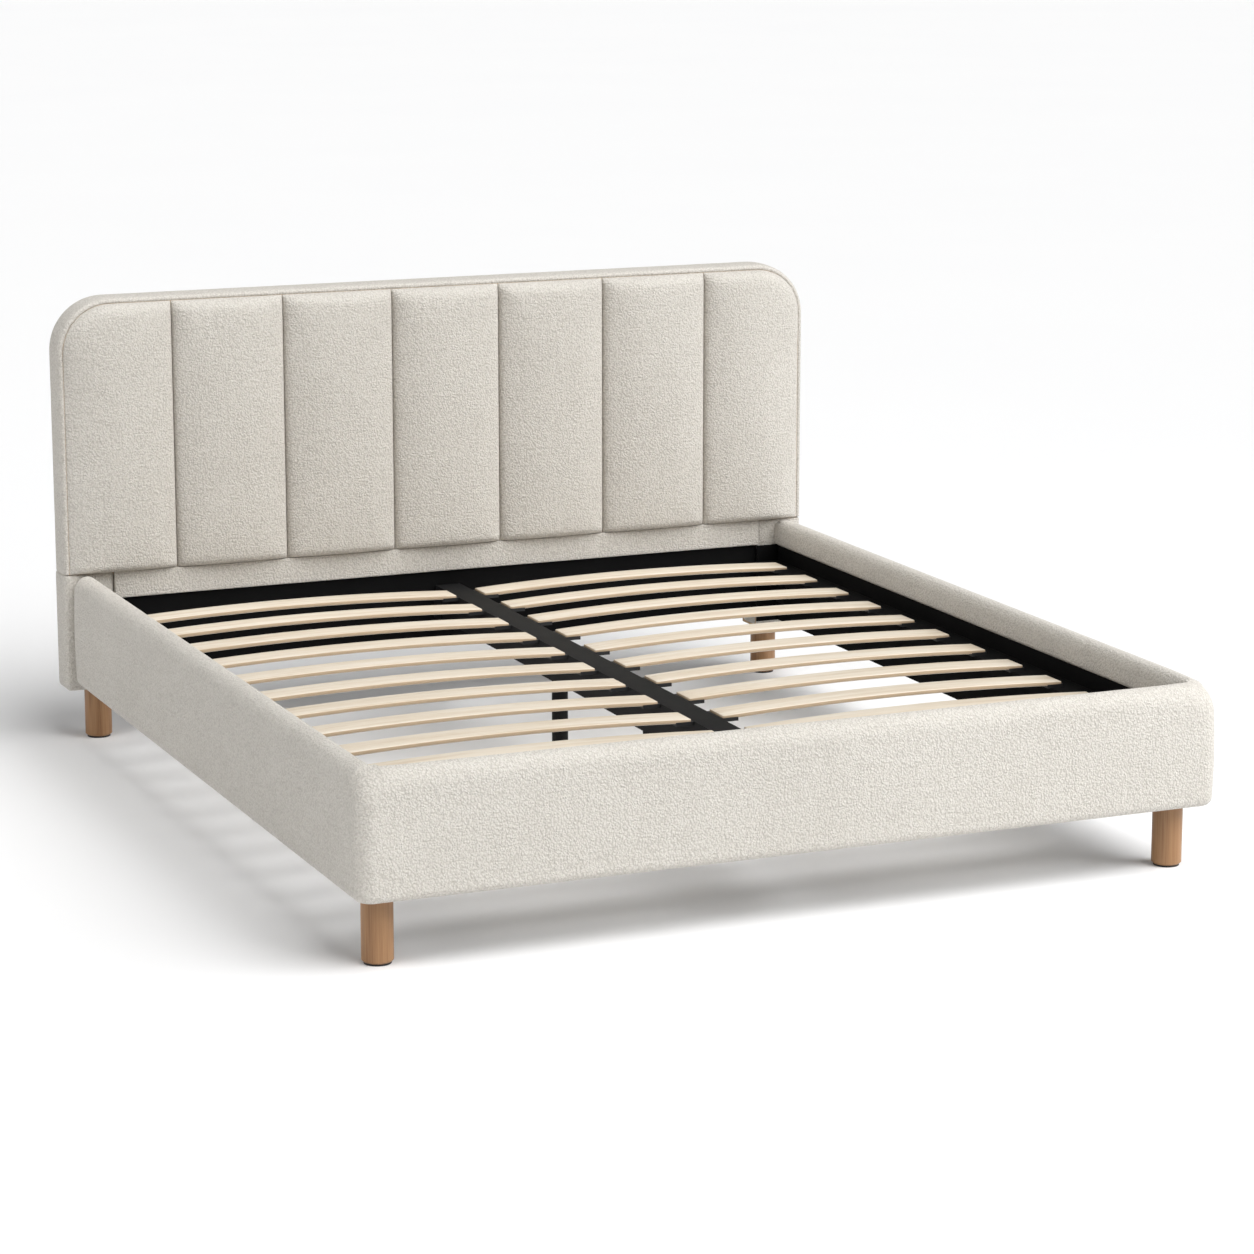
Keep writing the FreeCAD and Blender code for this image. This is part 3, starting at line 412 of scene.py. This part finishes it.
# how far inwards each shoulder of a channel reaches
LEFT_SHOULDER, RIGHT_SHOULDER, LOW_SHOULDER = 0.027, 0.024, 0.019
TOP_SHOULDER, SIDE_GAIN = 0.030, 0.050
# mesh lines close to a channel's seams, and the mesh step between them
SEAM_LINES = [0.0, 0.0006, 0.0020, 0.0042, 0.0072, 0.0110, 0.0155, 0.0210, 0.0280]
STEP_ACROSS, STEP_UP = 0.0125, 0.0135


def outline_distance(x, z):
    """How far a point is inside the rounded top outline of all the channels together."""
    ax = PAD_RIGHT - CORNER
    az = PAD_TOP - CORNER
    dx, dz = np.abs(x) - ax, z - az
    outside = np.hypot(np.maximum(dx, 0.0), np.maximum(dz, 0.0))
    inside = np.minimum(np.maximum(dx, dz), 0.0)
    return CORNER - (outside + inside)


def channel_height(x, z, left, right):
    """How far a channel stands in front of the seam plane."""
    rim = outline_distance(x, z)
    first, last = left <= PAD_LEFT + 1e-4, right >= PAD_RIGHT - 1e-4
    # the shoulder is short along the top, and a long slope down the two outer sides
    low = np.zeros_like(z)
    if first or last:
        low = np.clip((PAD_TOP - z) / 0.22, 0.0, 1.0) ** 1.5
    reach = TOP_SHOULDER + SIDE_GAIN * low
    height = round_off(rim, reach, 2.1 - 0.45 * low)
    if not first:
        height = height * round_off(x - left, LEFT_SHOULDER, 1.9)
    if not last:
        height = height * round_off(right - x, RIGHT_SHOULDER, 2.0)
    height = height * round_off(z - PAD_BOTTOM, LOW_SHOULDER, 2.2)
    across = np.clip((x - left) / (right - left), 0.0, 1.0) * 2.0 - 1.0
    crown = CROWN * (1.0 - across ** 2)
    return (PAD_RISE - CROWN) * height + crown * height


def channel(index):
    """One upright foam channel: a grid fitted to its outline, with a shallow closed back."""
    node = "headboard_channel_%d" % index
    low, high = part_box(node)
    left, right = max(low.x, PAD_LEFT), min(high.x, PAD_RIGHT)
    u = spread(right - left, SEAM_LINES, SEAM_LINES, STEP_ACROSS) / (right - left)
    tall = PAD_TOP - PAD_BOTTOM
    v = spread(tall, SEAM_LINES, SEAM_LINES, STEP_UP) / tall
    outer = index in (1, 7)

    def side(x, t):
        return np.stack([np.full_like(t, x), PAD_BOTTOM + (PAD_TOP - PAD_BOTTOM) * t], 1)

    bottom = np.stack([left + (right - left) * u, np.full_like(u, PAD_BOTTOM)], 1)
    top = np.stack([left + (right - left) * u, np.full_like(u, PAD_TOP)], 1)
    west, east = side(left, v), side(right, v)
    if outer:
        # the rounded corner is shared out: its lower half to the side, its upper half to the top
        straight = PAD_TOP - PAD_BOTTOM - CORNER
        arc = CORNER * math.pi / 4
        s = v * (straight + arc)
        angle = np.clip((s - straight) / CORNER, 0.0, math.pi / 4)
        edge = np.stack([PAD_RIGHT - CORNER + CORNER * np.cos(angle),
                         PAD_BOTTOM + np.minimum(s, straight) + CORNER * np.sin(angle)], 1)
        flat = (right - left) - CORNER
        s = (1.0 - u if index == 1 else u) * (flat + arc)
        angle = math.pi / 2 - np.clip((s - flat) / CORNER, 0.0, math.pi / 4)
        inner = PAD_RIGHT - (right - left)
        lid = np.stack([inner + np.minimum(s, flat) + CORNER * np.cos(angle),
                        PAD_TOP - CORNER + CORNER * np.sin(angle)], 1)
        if index == 1:
            west = edge * (-1.0, 1.0)
            top = lid * (-1.0, 1.0)
        else:
            east, top = edge, lid
    # a patch blended from the four edges
    U, V = u[None, :, None], v[:, None, None]
    blend = ((1 - V) * bottom[None] + V * top[None]
             + (1 - U) * west[:, None] + U * east[:, None]
             - (1 - U) * (1 - V) * bottom[0] - U * (1 - V) * bottom[-1]
             - (1 - U) * V * top[0] - U * V * top[-1])
    x, z = blend[..., 0], blend[..., 1]
    y = SEAM_Y - channel_height(x, z, left, right)
    rows, columns = len(v), len(u)
    points = np.stack([x, y, z], -1).reshape(-1, 3)
    faces = grid_faces(rows, columns)
    ring = ([c for c in range(columns)] + [r * columns + columns - 1 for r in range(1, rows)]
            + [(rows - 1) * columns + c for c in range(columns - 2, -1, -1)]
            + [r * columns for r in range(rows - 2, 0, -1)])
    back = points[ring] + (0.0, 0.0015, 0.0)
    start = len(points)
    points = np.vstack([points, back])
    count = len(ring)
    faces += [(ring[k], start + k, start + (k + 1) % count, ring[(k + 1) % count])
              for k in range(count)]
    faces.append(tuple(start + k for k in range(count)))
    piece = new_piece("channel_pad_%d" % index, points, faces, [node])
    # held down along the seams, and free where it stands out
    rise = SEAM_Y - points[:, 1]
    held = np.clip(1.0 - (rise - 0.010) / 0.014, 0.0, 1.0)
    swell(piece, held, pressure=4.0, cap=0.005)
    return piece


channels = [channel(i) for i in range(1, 8)]


# ---------------------------------------------------------------- headboard border

border_low, border_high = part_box("headboard_border")


def sweep(name, path, section, replaces):
    """A closed section carried along a path; path rows are (x, z, normal x, normal z)."""
    count = len(section)
    points = np.array([(x + nx * n, y, z + nz * n) for x, z, nx, nz in path for n, y in section])
    faces = grid_faces(len(path), count, close=True)
    faces = [f[::-1] for f in faces]
    faces.append(tuple(range(count)))
    faces.append(tuple(reversed(range((len(path) - 1) * count, len(path) * count))))
    return new_piece(name, points, faces, replaces)


def headboard_border():
    """The padded band round the sides and top; its section is (outwards, y) from lip to back."""
    half, top_z, bend = border_high.x, border_high.z, CORNER + EDGE
    bottom = border_low.z
    straight = spread(top_z - bend - bottom, [0.0, 0.0012, 0.004, 0.010], [0.0, 0.012], 0.016)
    path = [(half, bottom + s, 1.0, 0.0) for s in straight]
    for k in range(1, 20):
        a = math.pi / 2 * k / 20
        path.append((half - bend + bend * math.cos(a), top_z - bend + bend * math.sin(a),
                     math.cos(a), math.sin(a)))
    path += [(x, top_z, 0.0, 1.0) for x in np.linspace(half - bend, 0.0, 56)]
    path += [(-x, z, -nx, nz) for x, z, nx, nz in reversed(path[:-1])]
    back = border_high.y
    depth = back - SEAM_Y
    section = [(-0.0170, SEAM_Y + 0.0040), (-0.0142, SEAM_Y + 0.0016), (-0.0120, SEAM_Y - 0.0006),
               (-0.0092, SEAM_Y - 0.0024), (-0.0060, SEAM_Y - 0.0020), (-0.0030, SEAM_Y + 0.0008),
               (-0.0010, SEAM_Y + 0.0046), (-0.0001, SEAM_Y + 0.0092), (0.0002, SEAM_Y + 0.0140)]
    for k in range(1, 9):
        t = k / 9
        section.append((0.0002 + 0.0016 * math.sin(math.pi * t), SEAM_Y + 0.014 + (depth - 0.026) * t))
    section += [(-0.0004, back - 0.0110), (-0.0030, back - 0.0052), (-0.0075, back - 0.0016),
                (-0.0130, back - 0.0004), (-0.0170, back - 0.0012), (-0.0185, back - 0.0045)]
    piece = sweep("border_band", path, section, ["headboard_border"])
    count = len(section)
    column = np.tile(np.arange(count), len(path))
    row = np.repeat(np.arange(len(path)), count)
    held = np.where((column < 3) | (column > count - 4), 1.0, 0.25)
    held[(row < 2) | (row > len(path) - 3)] = 1.0
    swell(piece, held, pressure=1.2, cap=0.0015)
    return piece


border = headboard_border()


# ---------------------------------------------------------------- boxed pads

def pad_box(name, low, high, radius, crown, step, replaces, sim=None, material="cream_fabric"):
    """A boxed cushion: rounded edges, and each face crowned by its own amount (x, y, z).

    sim is the pressure and cap of its cloth simulation, if it has one."""
    low, high = np.array(low), np.array(high)
    size = high - low
    centre = (low + high) / 2
    ticks = []
    for length in size:
        fine = [0.0, radius * 0.25, radius * 0.6, radius]
        if length < 2.2 * radius:
            ticks.append(np.linspace(0.0, length, 5) - length / 2)
        else:
            ticks.append(spread(length, fine, fine, step) - length / 2)
    index, points, faces = {}, [], []

    def vertex(i, j, k):
        key = (i, j, k)
        if key not in index:
            index[key] = len(points)
            p = np.array([ticks[0][i], ticks[1][j], ticks[2][k]])
            r = np.minimum(radius, size / 2)
            core = np.clip(p, -(size / 2 - r), size / 2 - r)
            away = (p - core) / r
            length = np.linalg.norm(away)
            if length > 0:
                away = away / length * max(abs(away).max(), 0.0)
            q = core + away * r
            t = np.clip(np.abs(q) / (size / 2), 0.0, 1.0)
            for axis in range(3):
                u, w = t[(axis + 1) % 3], t[(axis + 2) % 3]
                bulge = crown[axis] * (1 - u ** 2) * (1 - w ** 2)
                q[axis] += np.sign(q[axis]) * bulge * (abs(q[axis]) / (size[axis] / 2))
            points.append(centre + q)
        return index[key]

    n = [len(t) - 1 for t in ticks]
    for axis in range(3):
        b, c = (axis + 1) % 3, (axis + 2) % 3
        for end in (0, n[axis]):
            for i in range(n[b]):
                for j in range(n[c]):
                    quad = []
                    for di, dj in ((0, 0), (1, 0), (1, 1), (0, 1)):
                        key = [0, 0, 0]
                        key[axis], key[b], key[c] = end, i + di, j + dj
                        quad.append(vertex(*key))
                    faces.append(tuple(quad if end else reversed(quad)))
    piece = new_piece(name, points, faces, replaces, material)
    if sim:
        pressure, cap = sim
        swell(piece, np.full(len(points), 0.15), pressure, cap)
    return piece


wings = []
for name in ("left", "right"):
    low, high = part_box("headboard_wing_" + name)
    wings.append(pad_box("wing_pad_" + name, low, high, radius=0.009,
                         crown=(0.0010, 0.0015, 0.0), step=0.016,
                         replaces=["headboard_wing_" + name], sim=(2.0, 0.002)))

band_low, band_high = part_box("head_band")
board_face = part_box("side_rail_board_right")[0].x
wing_low_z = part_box("headboard_wing_right")[0].z
# the band tucks a little behind the wings and up to the channels
head_band = pad_box("head_band_pad", (band_low.x - 0.002, band_low.y + 0.001, band_low.z),
                    (band_high.x + 0.002, band_high.y, PAD_BOTTOM + 0.0010), radius=0.0035,
                    crown=(0.0, 0.0012, 0.0), step=0.014, replaces=["head_band"],
                    sim=(2.0, 0.0012))


def back_cover():
    """The fabric of the headboard's back, drawn over the frame and turned in at the edges.

    It is made of rings, each further inside the outline, and a flat middle."""
    low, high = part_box("headboard_back_cover")
    # each ring's distance inside the outline, and how far it lies in front of the back plane
    rings = ((0.0, 0.0034), (0.0006, 0.0023), (0.0020, 0.0012), (0.0045, 0.0004),
             (0.009, 0.0001), (0.02, -0.0002), (0.045, -0.0006), (0.08, -0.0010),
             (0.12, -0.0013), (0.17, -0.0015), (0.22, -0.0016), (0.27, -0.0016))
    half = high.x
    rim = []
    for inset, _ in rings:
        w, top, bottom = half - inset, high.z - inset, low.z + inset
        bend = max(CORNER + EDGE - 0.012 - inset, 0.02)
        side, lid, arc = top - bend - bottom, 2 * (w - bend), math.pi / 2 * bend
        marks = []
        # up the right side, over the top, down the left side and back along the bottom
        parts = ((side, 40), (arc, 14), (lid, 52), (arc, 14), (side, 40), (2 * w, 60))
        for part, (share, steps) in enumerate(parts):
            for k in range(steps):
                s = share * k / steps
                if part == 0:
                    marks.append((w, bottom + s))
                elif part == 1:
                    a = s / bend
                    marks.append((w - bend + bend * math.cos(a), top - bend + bend * math.sin(a)))
                elif part == 2:
                    marks.append((w - bend - s, top))
                elif part == 3:
                    a = math.pi / 2 + s / bend
                    marks.append((-w + bend + bend * math.cos(a), top - bend + bend * math.sin(a)))
                elif part == 4:
                    marks.append((-w, top - bend - s))
                else:
                    marks.append((-w + s, bottom))
        rim.append(marks)
    points = [(x, high.y - depth, z) for marks, (_, depth) in zip(rim, rings) for x, z in marks]
    count = len(rim[0])
    faces = [f[::-1] for f in grid_faces(len(rim), count, close=True)]
    faces.append(tuple(reversed(range((len(rim) - 1) * count, len(rim) * count))))
    start = len(points)
    points += [(x, low.y, z) for x, z in rim[0]]
    faces += [(k, (k + 1) % count, start + (k + 1) % count, start + k) for k in range(count)]
    faces.append(tuple(range(start, start + count)))
    return new_piece("back_cover_pad", points, faces, ["headboard_back_cover"])


back = back_cover()

# thin black linings close the gaps between the head rail and the side boards
for side, name in ((-1, "left"), (1, "right")):
    ends = sorted((side * (band_high.x - 0.004), side * (board_face + 0.0035)))
    pad_box("corner_lining_" + name, (ends[0], band_high.y - 0.0105, wing_low_z + 0.020),
            (ends[1], band_high.y - 0.0080, band_low.z - 0.001), radius=0.0011,
            crown=(0.0, 0.0, 0.0), step=0.03, replaces=[], material="black_board")


# ---------------------------------------------------------------- slats

SLAT_THICK, SLAT_EASE = 0.010, 0.0024
# from the centre rail's side to a slat's inner end
SLAT_GAP = 0.0055


def slat(name, row, inner, outer, low, high):
    """A bowed birch strip with eased edges, from the centre rail out to the ledge."""
    ease = SLAT_EASE
    crown = (high.z - low.z) - SLAT_THICK
    half_w, half_t = (high.y - low.y) / 2, SLAT_THICK / 2
    ring = []
    for cy, cz, start in ((1, 1, 0), (-1, 1, 90), (-1, -1, 180), (1, -1, 270)):
        for k in range(4):
            a = math.radians(start + 30 * k)
            ring.append((cy * (half_w - ease) + ease * math.cos(a),
                         cz * (half_t - ease) + ease * math.sin(a)))
    stations = np.linspace(0.0, 1.0, 27)
    stations = np.concatenate([[0.0, 0.0016], stations[1:-1], [0.9984, 1.0]])
    points = []
    for t in stations:
        rise = crown * (1.0 - (2.0 * t - 1.0) ** 2)
        slope = -4.0 * crown * (2.0 * t - 1.0) / (outer - inner)
        tight = 0.88 if t in (0.0, 1.0) else 1.0
        x, z = inner + (outer - inner) * t, low.z + half_t + rise
        for y, h in ring:
            h = h * tight
            y = y * (1.0 - (1.0 - tight) * 0.15)
            points.append((x - slope * h, (low.y + high.y) / 2 + y, z + h))
    count = len(ring)
    rows = len(stations)
    faces = grid_faces(rows, count, close=True)
    faces.append(tuple(reversed(range(count))))
    faces.append(tuple(range((rows - 1) * count, rows * count)))
    if outer < inner:
        faces = [f[::-1] for f in faces]
    return new_piece(name, points, faces, [row], "birch_slat")


for index in range(1, 12):
    row = "slat_row_%02d" % index
    low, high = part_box(row)
    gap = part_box("centre_rail")[1].x + SLAT_GAP
    slat("slat_%02d_left" % index, row, -gap, low.x, low, high)
    slat("slat_%02d_right" % index, row, gap, high.x, low, high)


# ---------------------------------------------------------------- padded rails

side_low, side_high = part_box("side_rail_cover_right")
foot_low, foot_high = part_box("foot_rail_cover")
INNER_X, OUTER_X = side_low.x, foot_high.x
FOOT_IN_Y, HEAD_Y = foot_low.y + (OUTER_X - INNER_X), side_high.y
RAIL_LOW, RAIL_HIGH = side_low.z, side_high.z
THICK = OUTER_X - INNER_X
# where the inner hem meets the black lining of the boards
LINING = 0.349
# the radius of the lower hem, and of the two corners at the foot seen from above
LOW_RADIUS, FOOT_CORNER = 0.017, 0.036
# the outer top shoulder's width and depth along the rails, and what they gain towards a corner
PULL, DROP = 0.034, 0.042
PULL_GAIN, DROP_GAIN, CORNER_REACH = 0.006, 0.014, 0.13
# the same at the start of a corner's turn, and what they gain halfway round it
TURN_PULL, TURN_DROP = 0.040, 0.056
TURN_PULL_GAIN, TURN_DROP_GAIN = 0.026, 0.022
# the height and width that a side cover loses where it tucks in at the headboard
TUCK_TOP, TUCK_SIDE, TUCK_REACH = 0.008, 0.013, 0.026
RAIL_STEP = 0.0150


def rail_section(thick, pull, top, drop, shrink):
    """Points (n, z) from the inner hem over the top and down to the lower hem.

    pull and drop are the width and depth of the outer top shoulder, top the height lost at an
    end and shrink the width lost there."""
    high = RAIL_HIGH - top
    outer = thick - shrink
    inner_r, inner_drop = max(0.006, min(0.021, outer - pull - 0.0015)), 0.032
    low_r = LOW_RADIUS
    pts = [(0.0160, LINING - 0.0015), (0.0030, LINING - 0.0012), (0.0004, LINING + 0.0016)]
    for t in np.linspace(0.12, 0.88, 5):
        z = LINING + 0.0016 + (high - inner_drop - LINING - 0.0016) * t
        pts.append((-0.0012 * math.sin(math.pi * t), z))
    for a in np.linspace(0.0, math.pi / 2, 8):
        pts.append((inner_r * (1 - math.cos(a)), high - inner_drop * (1 - math.sin(a))))
    crest = outer - pull - inner_r
    for t in (0.33, 0.67):
        pts.append((inner_r + crest * t, high + 0.0004))
    for a in np.linspace(0.0, math.pi / 2, 12):
        s, c = math.sin(a) ** (2 / 2.15), math.cos(a) ** (2 / 2.15)
        pts.append((outer - pull * (1 - s), high - drop * (1 - c)))
    face_top, face_low = high - drop, RAIL_LOW + low_r
    for t in np.linspace(0.0, 1.0, 16)[1:-1]:
        pts.append((outer + 0.0022 * math.sin(math.pi * t), face_top + (face_low - face_top) * t))
    for a in np.linspace(0.0, math.pi / 2, 7):
        pts.append((outer - low_r * (1 - math.cos(a)), RAIL_LOW + low_r * (1 - math.sin(a))))
    for n in (outer - 0.024, 0.026, 0.0180):
        pts.append((n, RAIL_LOW))
    pts.append((0.0160, RAIL_LOW + 0.0045))
    return np.array(pts)


def rail_covers():
    """One padded cover runs round the foot of the bed; it is cut into its three pieces last."""
    columns = []

    def add(base, direction, thick, pull, drop, top=0.0, shrink=0.0):
        section = rail_section(thick, pull, top, drop, shrink)
        columns.append([(base[0] + direction[0] * n, base[1] + direction[1] * n, z)
                        for n, z in section])

    fine_end = [0.0, 0.0012, 0.0040, 0.0085, 0.015, 0.023, 0.033]
    run = HEAD_Y - FOOT_IN_Y
    stations = spread(run, fine_end, [0.0, 0.010], RAIL_STEP)
    side = []
    for s in stations:
        y = HEAD_Y - s
        ease = float(1.0 - round_off(np.array(s), TUCK_REACH, 2.0))
        near = float(np.clip(1.0 - (run - s) / CORNER_REACH, 0.0, 1.0)) ** 2
        side.append((y, PULL + PULL_GAIN * near, DROP + DROP_GAIN * near, TUCK_TOP * ease,
                     TUCK_SIDE * ease))
    for y, pull, drop, top, shrink in side:
        add((-INNER_X, y), (-1.0, 0.0), THICK, pull, drop, top, shrink)
    split_left = len(columns) - 1

    # the sections that turn round a foot corner, from the side rail to the foot rail
    fan = []
    centre = THICK - FOOT_CORNER
    for k in range(1, 18):
        a = math.pi / 2 * k / 18
        c, s = math.cos(a), math.sin(a)
        reach = min(THICK / max(c, 1e-6), THICK / max(s, 1e-6))
        # where a ray from the inner corner meets the rounded outer corner
        b = c * centre + s * centre
        d = b + math.sqrt(max(b * b - 2 * centre ** 2 + FOOT_CORNER ** 2, 0.0))
        if d * c > centre and d * s > centre:
            reach = d
        turn = math.sin(2 * a)
        fan.append((c, s, reach, TURN_PULL + TURN_PULL_GAIN * turn,
                    TURN_DROP + TURN_DROP_GAIN * turn))

    for c, s, reach, pull, drop in fan:
        add((-INNER_X, FOOT_IN_Y), (-c, -s), reach, pull, drop)
    width = 2 * INNER_X
    for x in spread(width, [0.0, 0.010], [0.0, 0.010], RAIL_STEP):
        near = max(0.0, 1.0 - min(x, width - x) / CORNER_REACH) ** 2
        add((-INNER_X + x, FOOT_IN_Y), (0.0, -1.0), THICK, PULL + PULL_GAIN * near,
            DROP + DROP_GAIN * near)
    for c, s, reach, pull, drop in reversed(fan):
        add((INNER_X, FOOT_IN_Y), (c, -s), reach, pull, drop)
    split_right = len(columns)
    for y, pull, drop, top, shrink in reversed(side):
        add((INNER_X, y), (1.0, 0.0), THICK, pull, drop, top, shrink)
    return np.array(columns), split_left, split_right


rail_grid, split_left, split_right = rail_covers()


def rail_piece(name, grid, replaces):
    """One length of the cover, closed round its section and capped at both ends."""
    rows, count = grid.shape[:2]
    points = grid.reshape(-1, 3)
    faces = grid_faces(rows, count, close=True)
    # the end caps have points of their own, so that they don't darken the fabric at a joint
    points = np.vstack([points, grid[0], grid[-1]])
    faces.append(tuple(reversed(range(rows * count, (rows + 1) * count))))
    faces.append(tuple(range((rows + 1) * count, (rows + 2) * count)))
    return new_piece(name, points, faces, replaces)


def whole_cover(grid):
    """The uncut cover as one piece, queued for the cloth simulation."""
    rows, count = grid.shape[:2]
    mesh = bpy.data.meshes.new("whole_cover")
    mesh.from_pydata([tuple(p) for p in grid.reshape(-1, 3)], [], grid_faces(rows, count))
    whole = bpy.data.objects.new("whole_cover", mesh)
    scene.collection.objects.link(whole)
    column = np.tile(np.arange(count), rows)
    row = np.repeat(np.arange(rows), count)
    held = np.full(rows * count, 0.12)
    held[(column < 4) | (column > count - 7)] = 1.0
    held[(row < 4) | (row > rows - 5)] = 1.0
    swell(whole, held, pressure=3.0, cap=0.0035)
    return whole


cover = whole_cover(rail_grid)
simulate()
if cover:
    flat = np.zeros(rail_grid.size)
    cover.data.vertices.foreach_get("co", flat)
    rail_grid = flat.reshape(rail_grid.shape)
    bpy.data.objects.remove(cover)

rails = [
    rail_piece("side_cover_left", rail_grid[:split_left + 1], ["side_rail_cover_left"]),
    rail_piece("foot_cover", rail_grid[split_left:split_right + 1], ["foot_rail_cover"]),
    rail_piece("side_cover_right", rail_grid[split_right:], ["side_rail_cover_right"]),
]

for piece in channels:
    finish_soft(piece)
for piece in [border, head_band, *wings, *rails]:
    finish_soft(piece)
# the back is flat, with one large middle face, so it isn't subdivided
finish_soft(back, 0)


# ---------------------------------------------------------------- floor, light and camera

FLOOR_RADIUS = 70.0


def stage_floor():
    """A wide pale disc that the bed stands on."""
    n = Nodes("studio_floor")
    tone = n.noise(0.6, 2.0)
    n.shade(Base_Color=n.ramp(tone, (0.2, (0.885, 0.885, 0.888)), (0.8, (0.895, 0.895, 0.895))),
            Roughness=0.85, Specular_IOR_Level=0.1)
    mesh = bpy.data.meshes.new("floor")
    count = 96
    ring = []
    for k in range(count):
        a = 2 * math.pi * k / count
        ring.append((FLOOR_RADIUS * math.cos(a), FLOOR_RADIUS * math.sin(a), 0.0))
    mesh.from_pydata(ring, [], [tuple(range(count))])
    mesh.materials.append(n.material)
    floor = bpy.data.objects.new("floor", mesh)
    scene.collection.objects.link(floor)
    floor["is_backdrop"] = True


def sun(name, direction, strength, angle):
    """A broad soft light from far away; angle is its width in degrees."""
    light = bpy.data.lights.new(name, "SUN")
    light.energy = strength
    light.angle = math.radians(angle)
    lamp = bpy.data.objects.new(name, light)
    lamp.rotation_mode = "QUATERNION"
    lamp.rotation_quaternion = Vector(direction).to_track_quat("Z", "Y")
    scene.collection.objects.link(lamp)


stage_floor()
sun("overhead", (0.42, -0.62, 1.0), 3.28, 54.0)
sun("fill", (-1.0, -0.1, 0.8), 1.03, 60.0)

# a softbox near the foot, on the right, gives the headboard its slow change of tone
KEY_AIM = Vector((0.3, 0.4, 0.5))
key = bpy.data.lights.new("key", "AREA")
key.shape = "RECTANGLE"
key.size, key.size_y = 1.6, 1.6
key.energy = 38.0
key.color = (0.985, 1.0, 1.03)
lamp = bpy.data.objects.new("key", key)
lamp.location = (2.9, -2.2, 1.9)
lamp.rotation_mode = "QUATERNION"
lamp.rotation_quaternion = (lamp.location - KEY_AIM).to_track_quat("Z", "Y")
lamp.visible_camera = False
scene.collection.objects.link(lamp)

world = bpy.data.worlds.new("studio")
world.use_nodes = True
background = world.node_tree.nodes["Background"]
background.inputs["Color"].default_value = (1.0, 1.0, 1.0, 1.0)
background.inputs["Strength"].default_value = 0.09
scene.world = world
scene.view_settings.view_transform = "Standard"

# from above the foot's left corner, with a long lens
CAMERA_TILT, CAMERA_TURN = 12.218, -23.278
camera = bpy.data.objects.new("camera", bpy.data.cameras.new("camera"))
camera.data.sensor_width = 36.0
camera.data.lens = 108.696
camera.data.clip_end = 200.0
camera.location = (-3.277, -7.7644, 2.2265)
camera.rotation_euler = (math.radians(90.0 - CAMERA_TILT), 0.0, math.radians(CAMERA_TURN))
scene.collection.objects.link(camera)
scene.camera = camera

low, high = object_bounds()
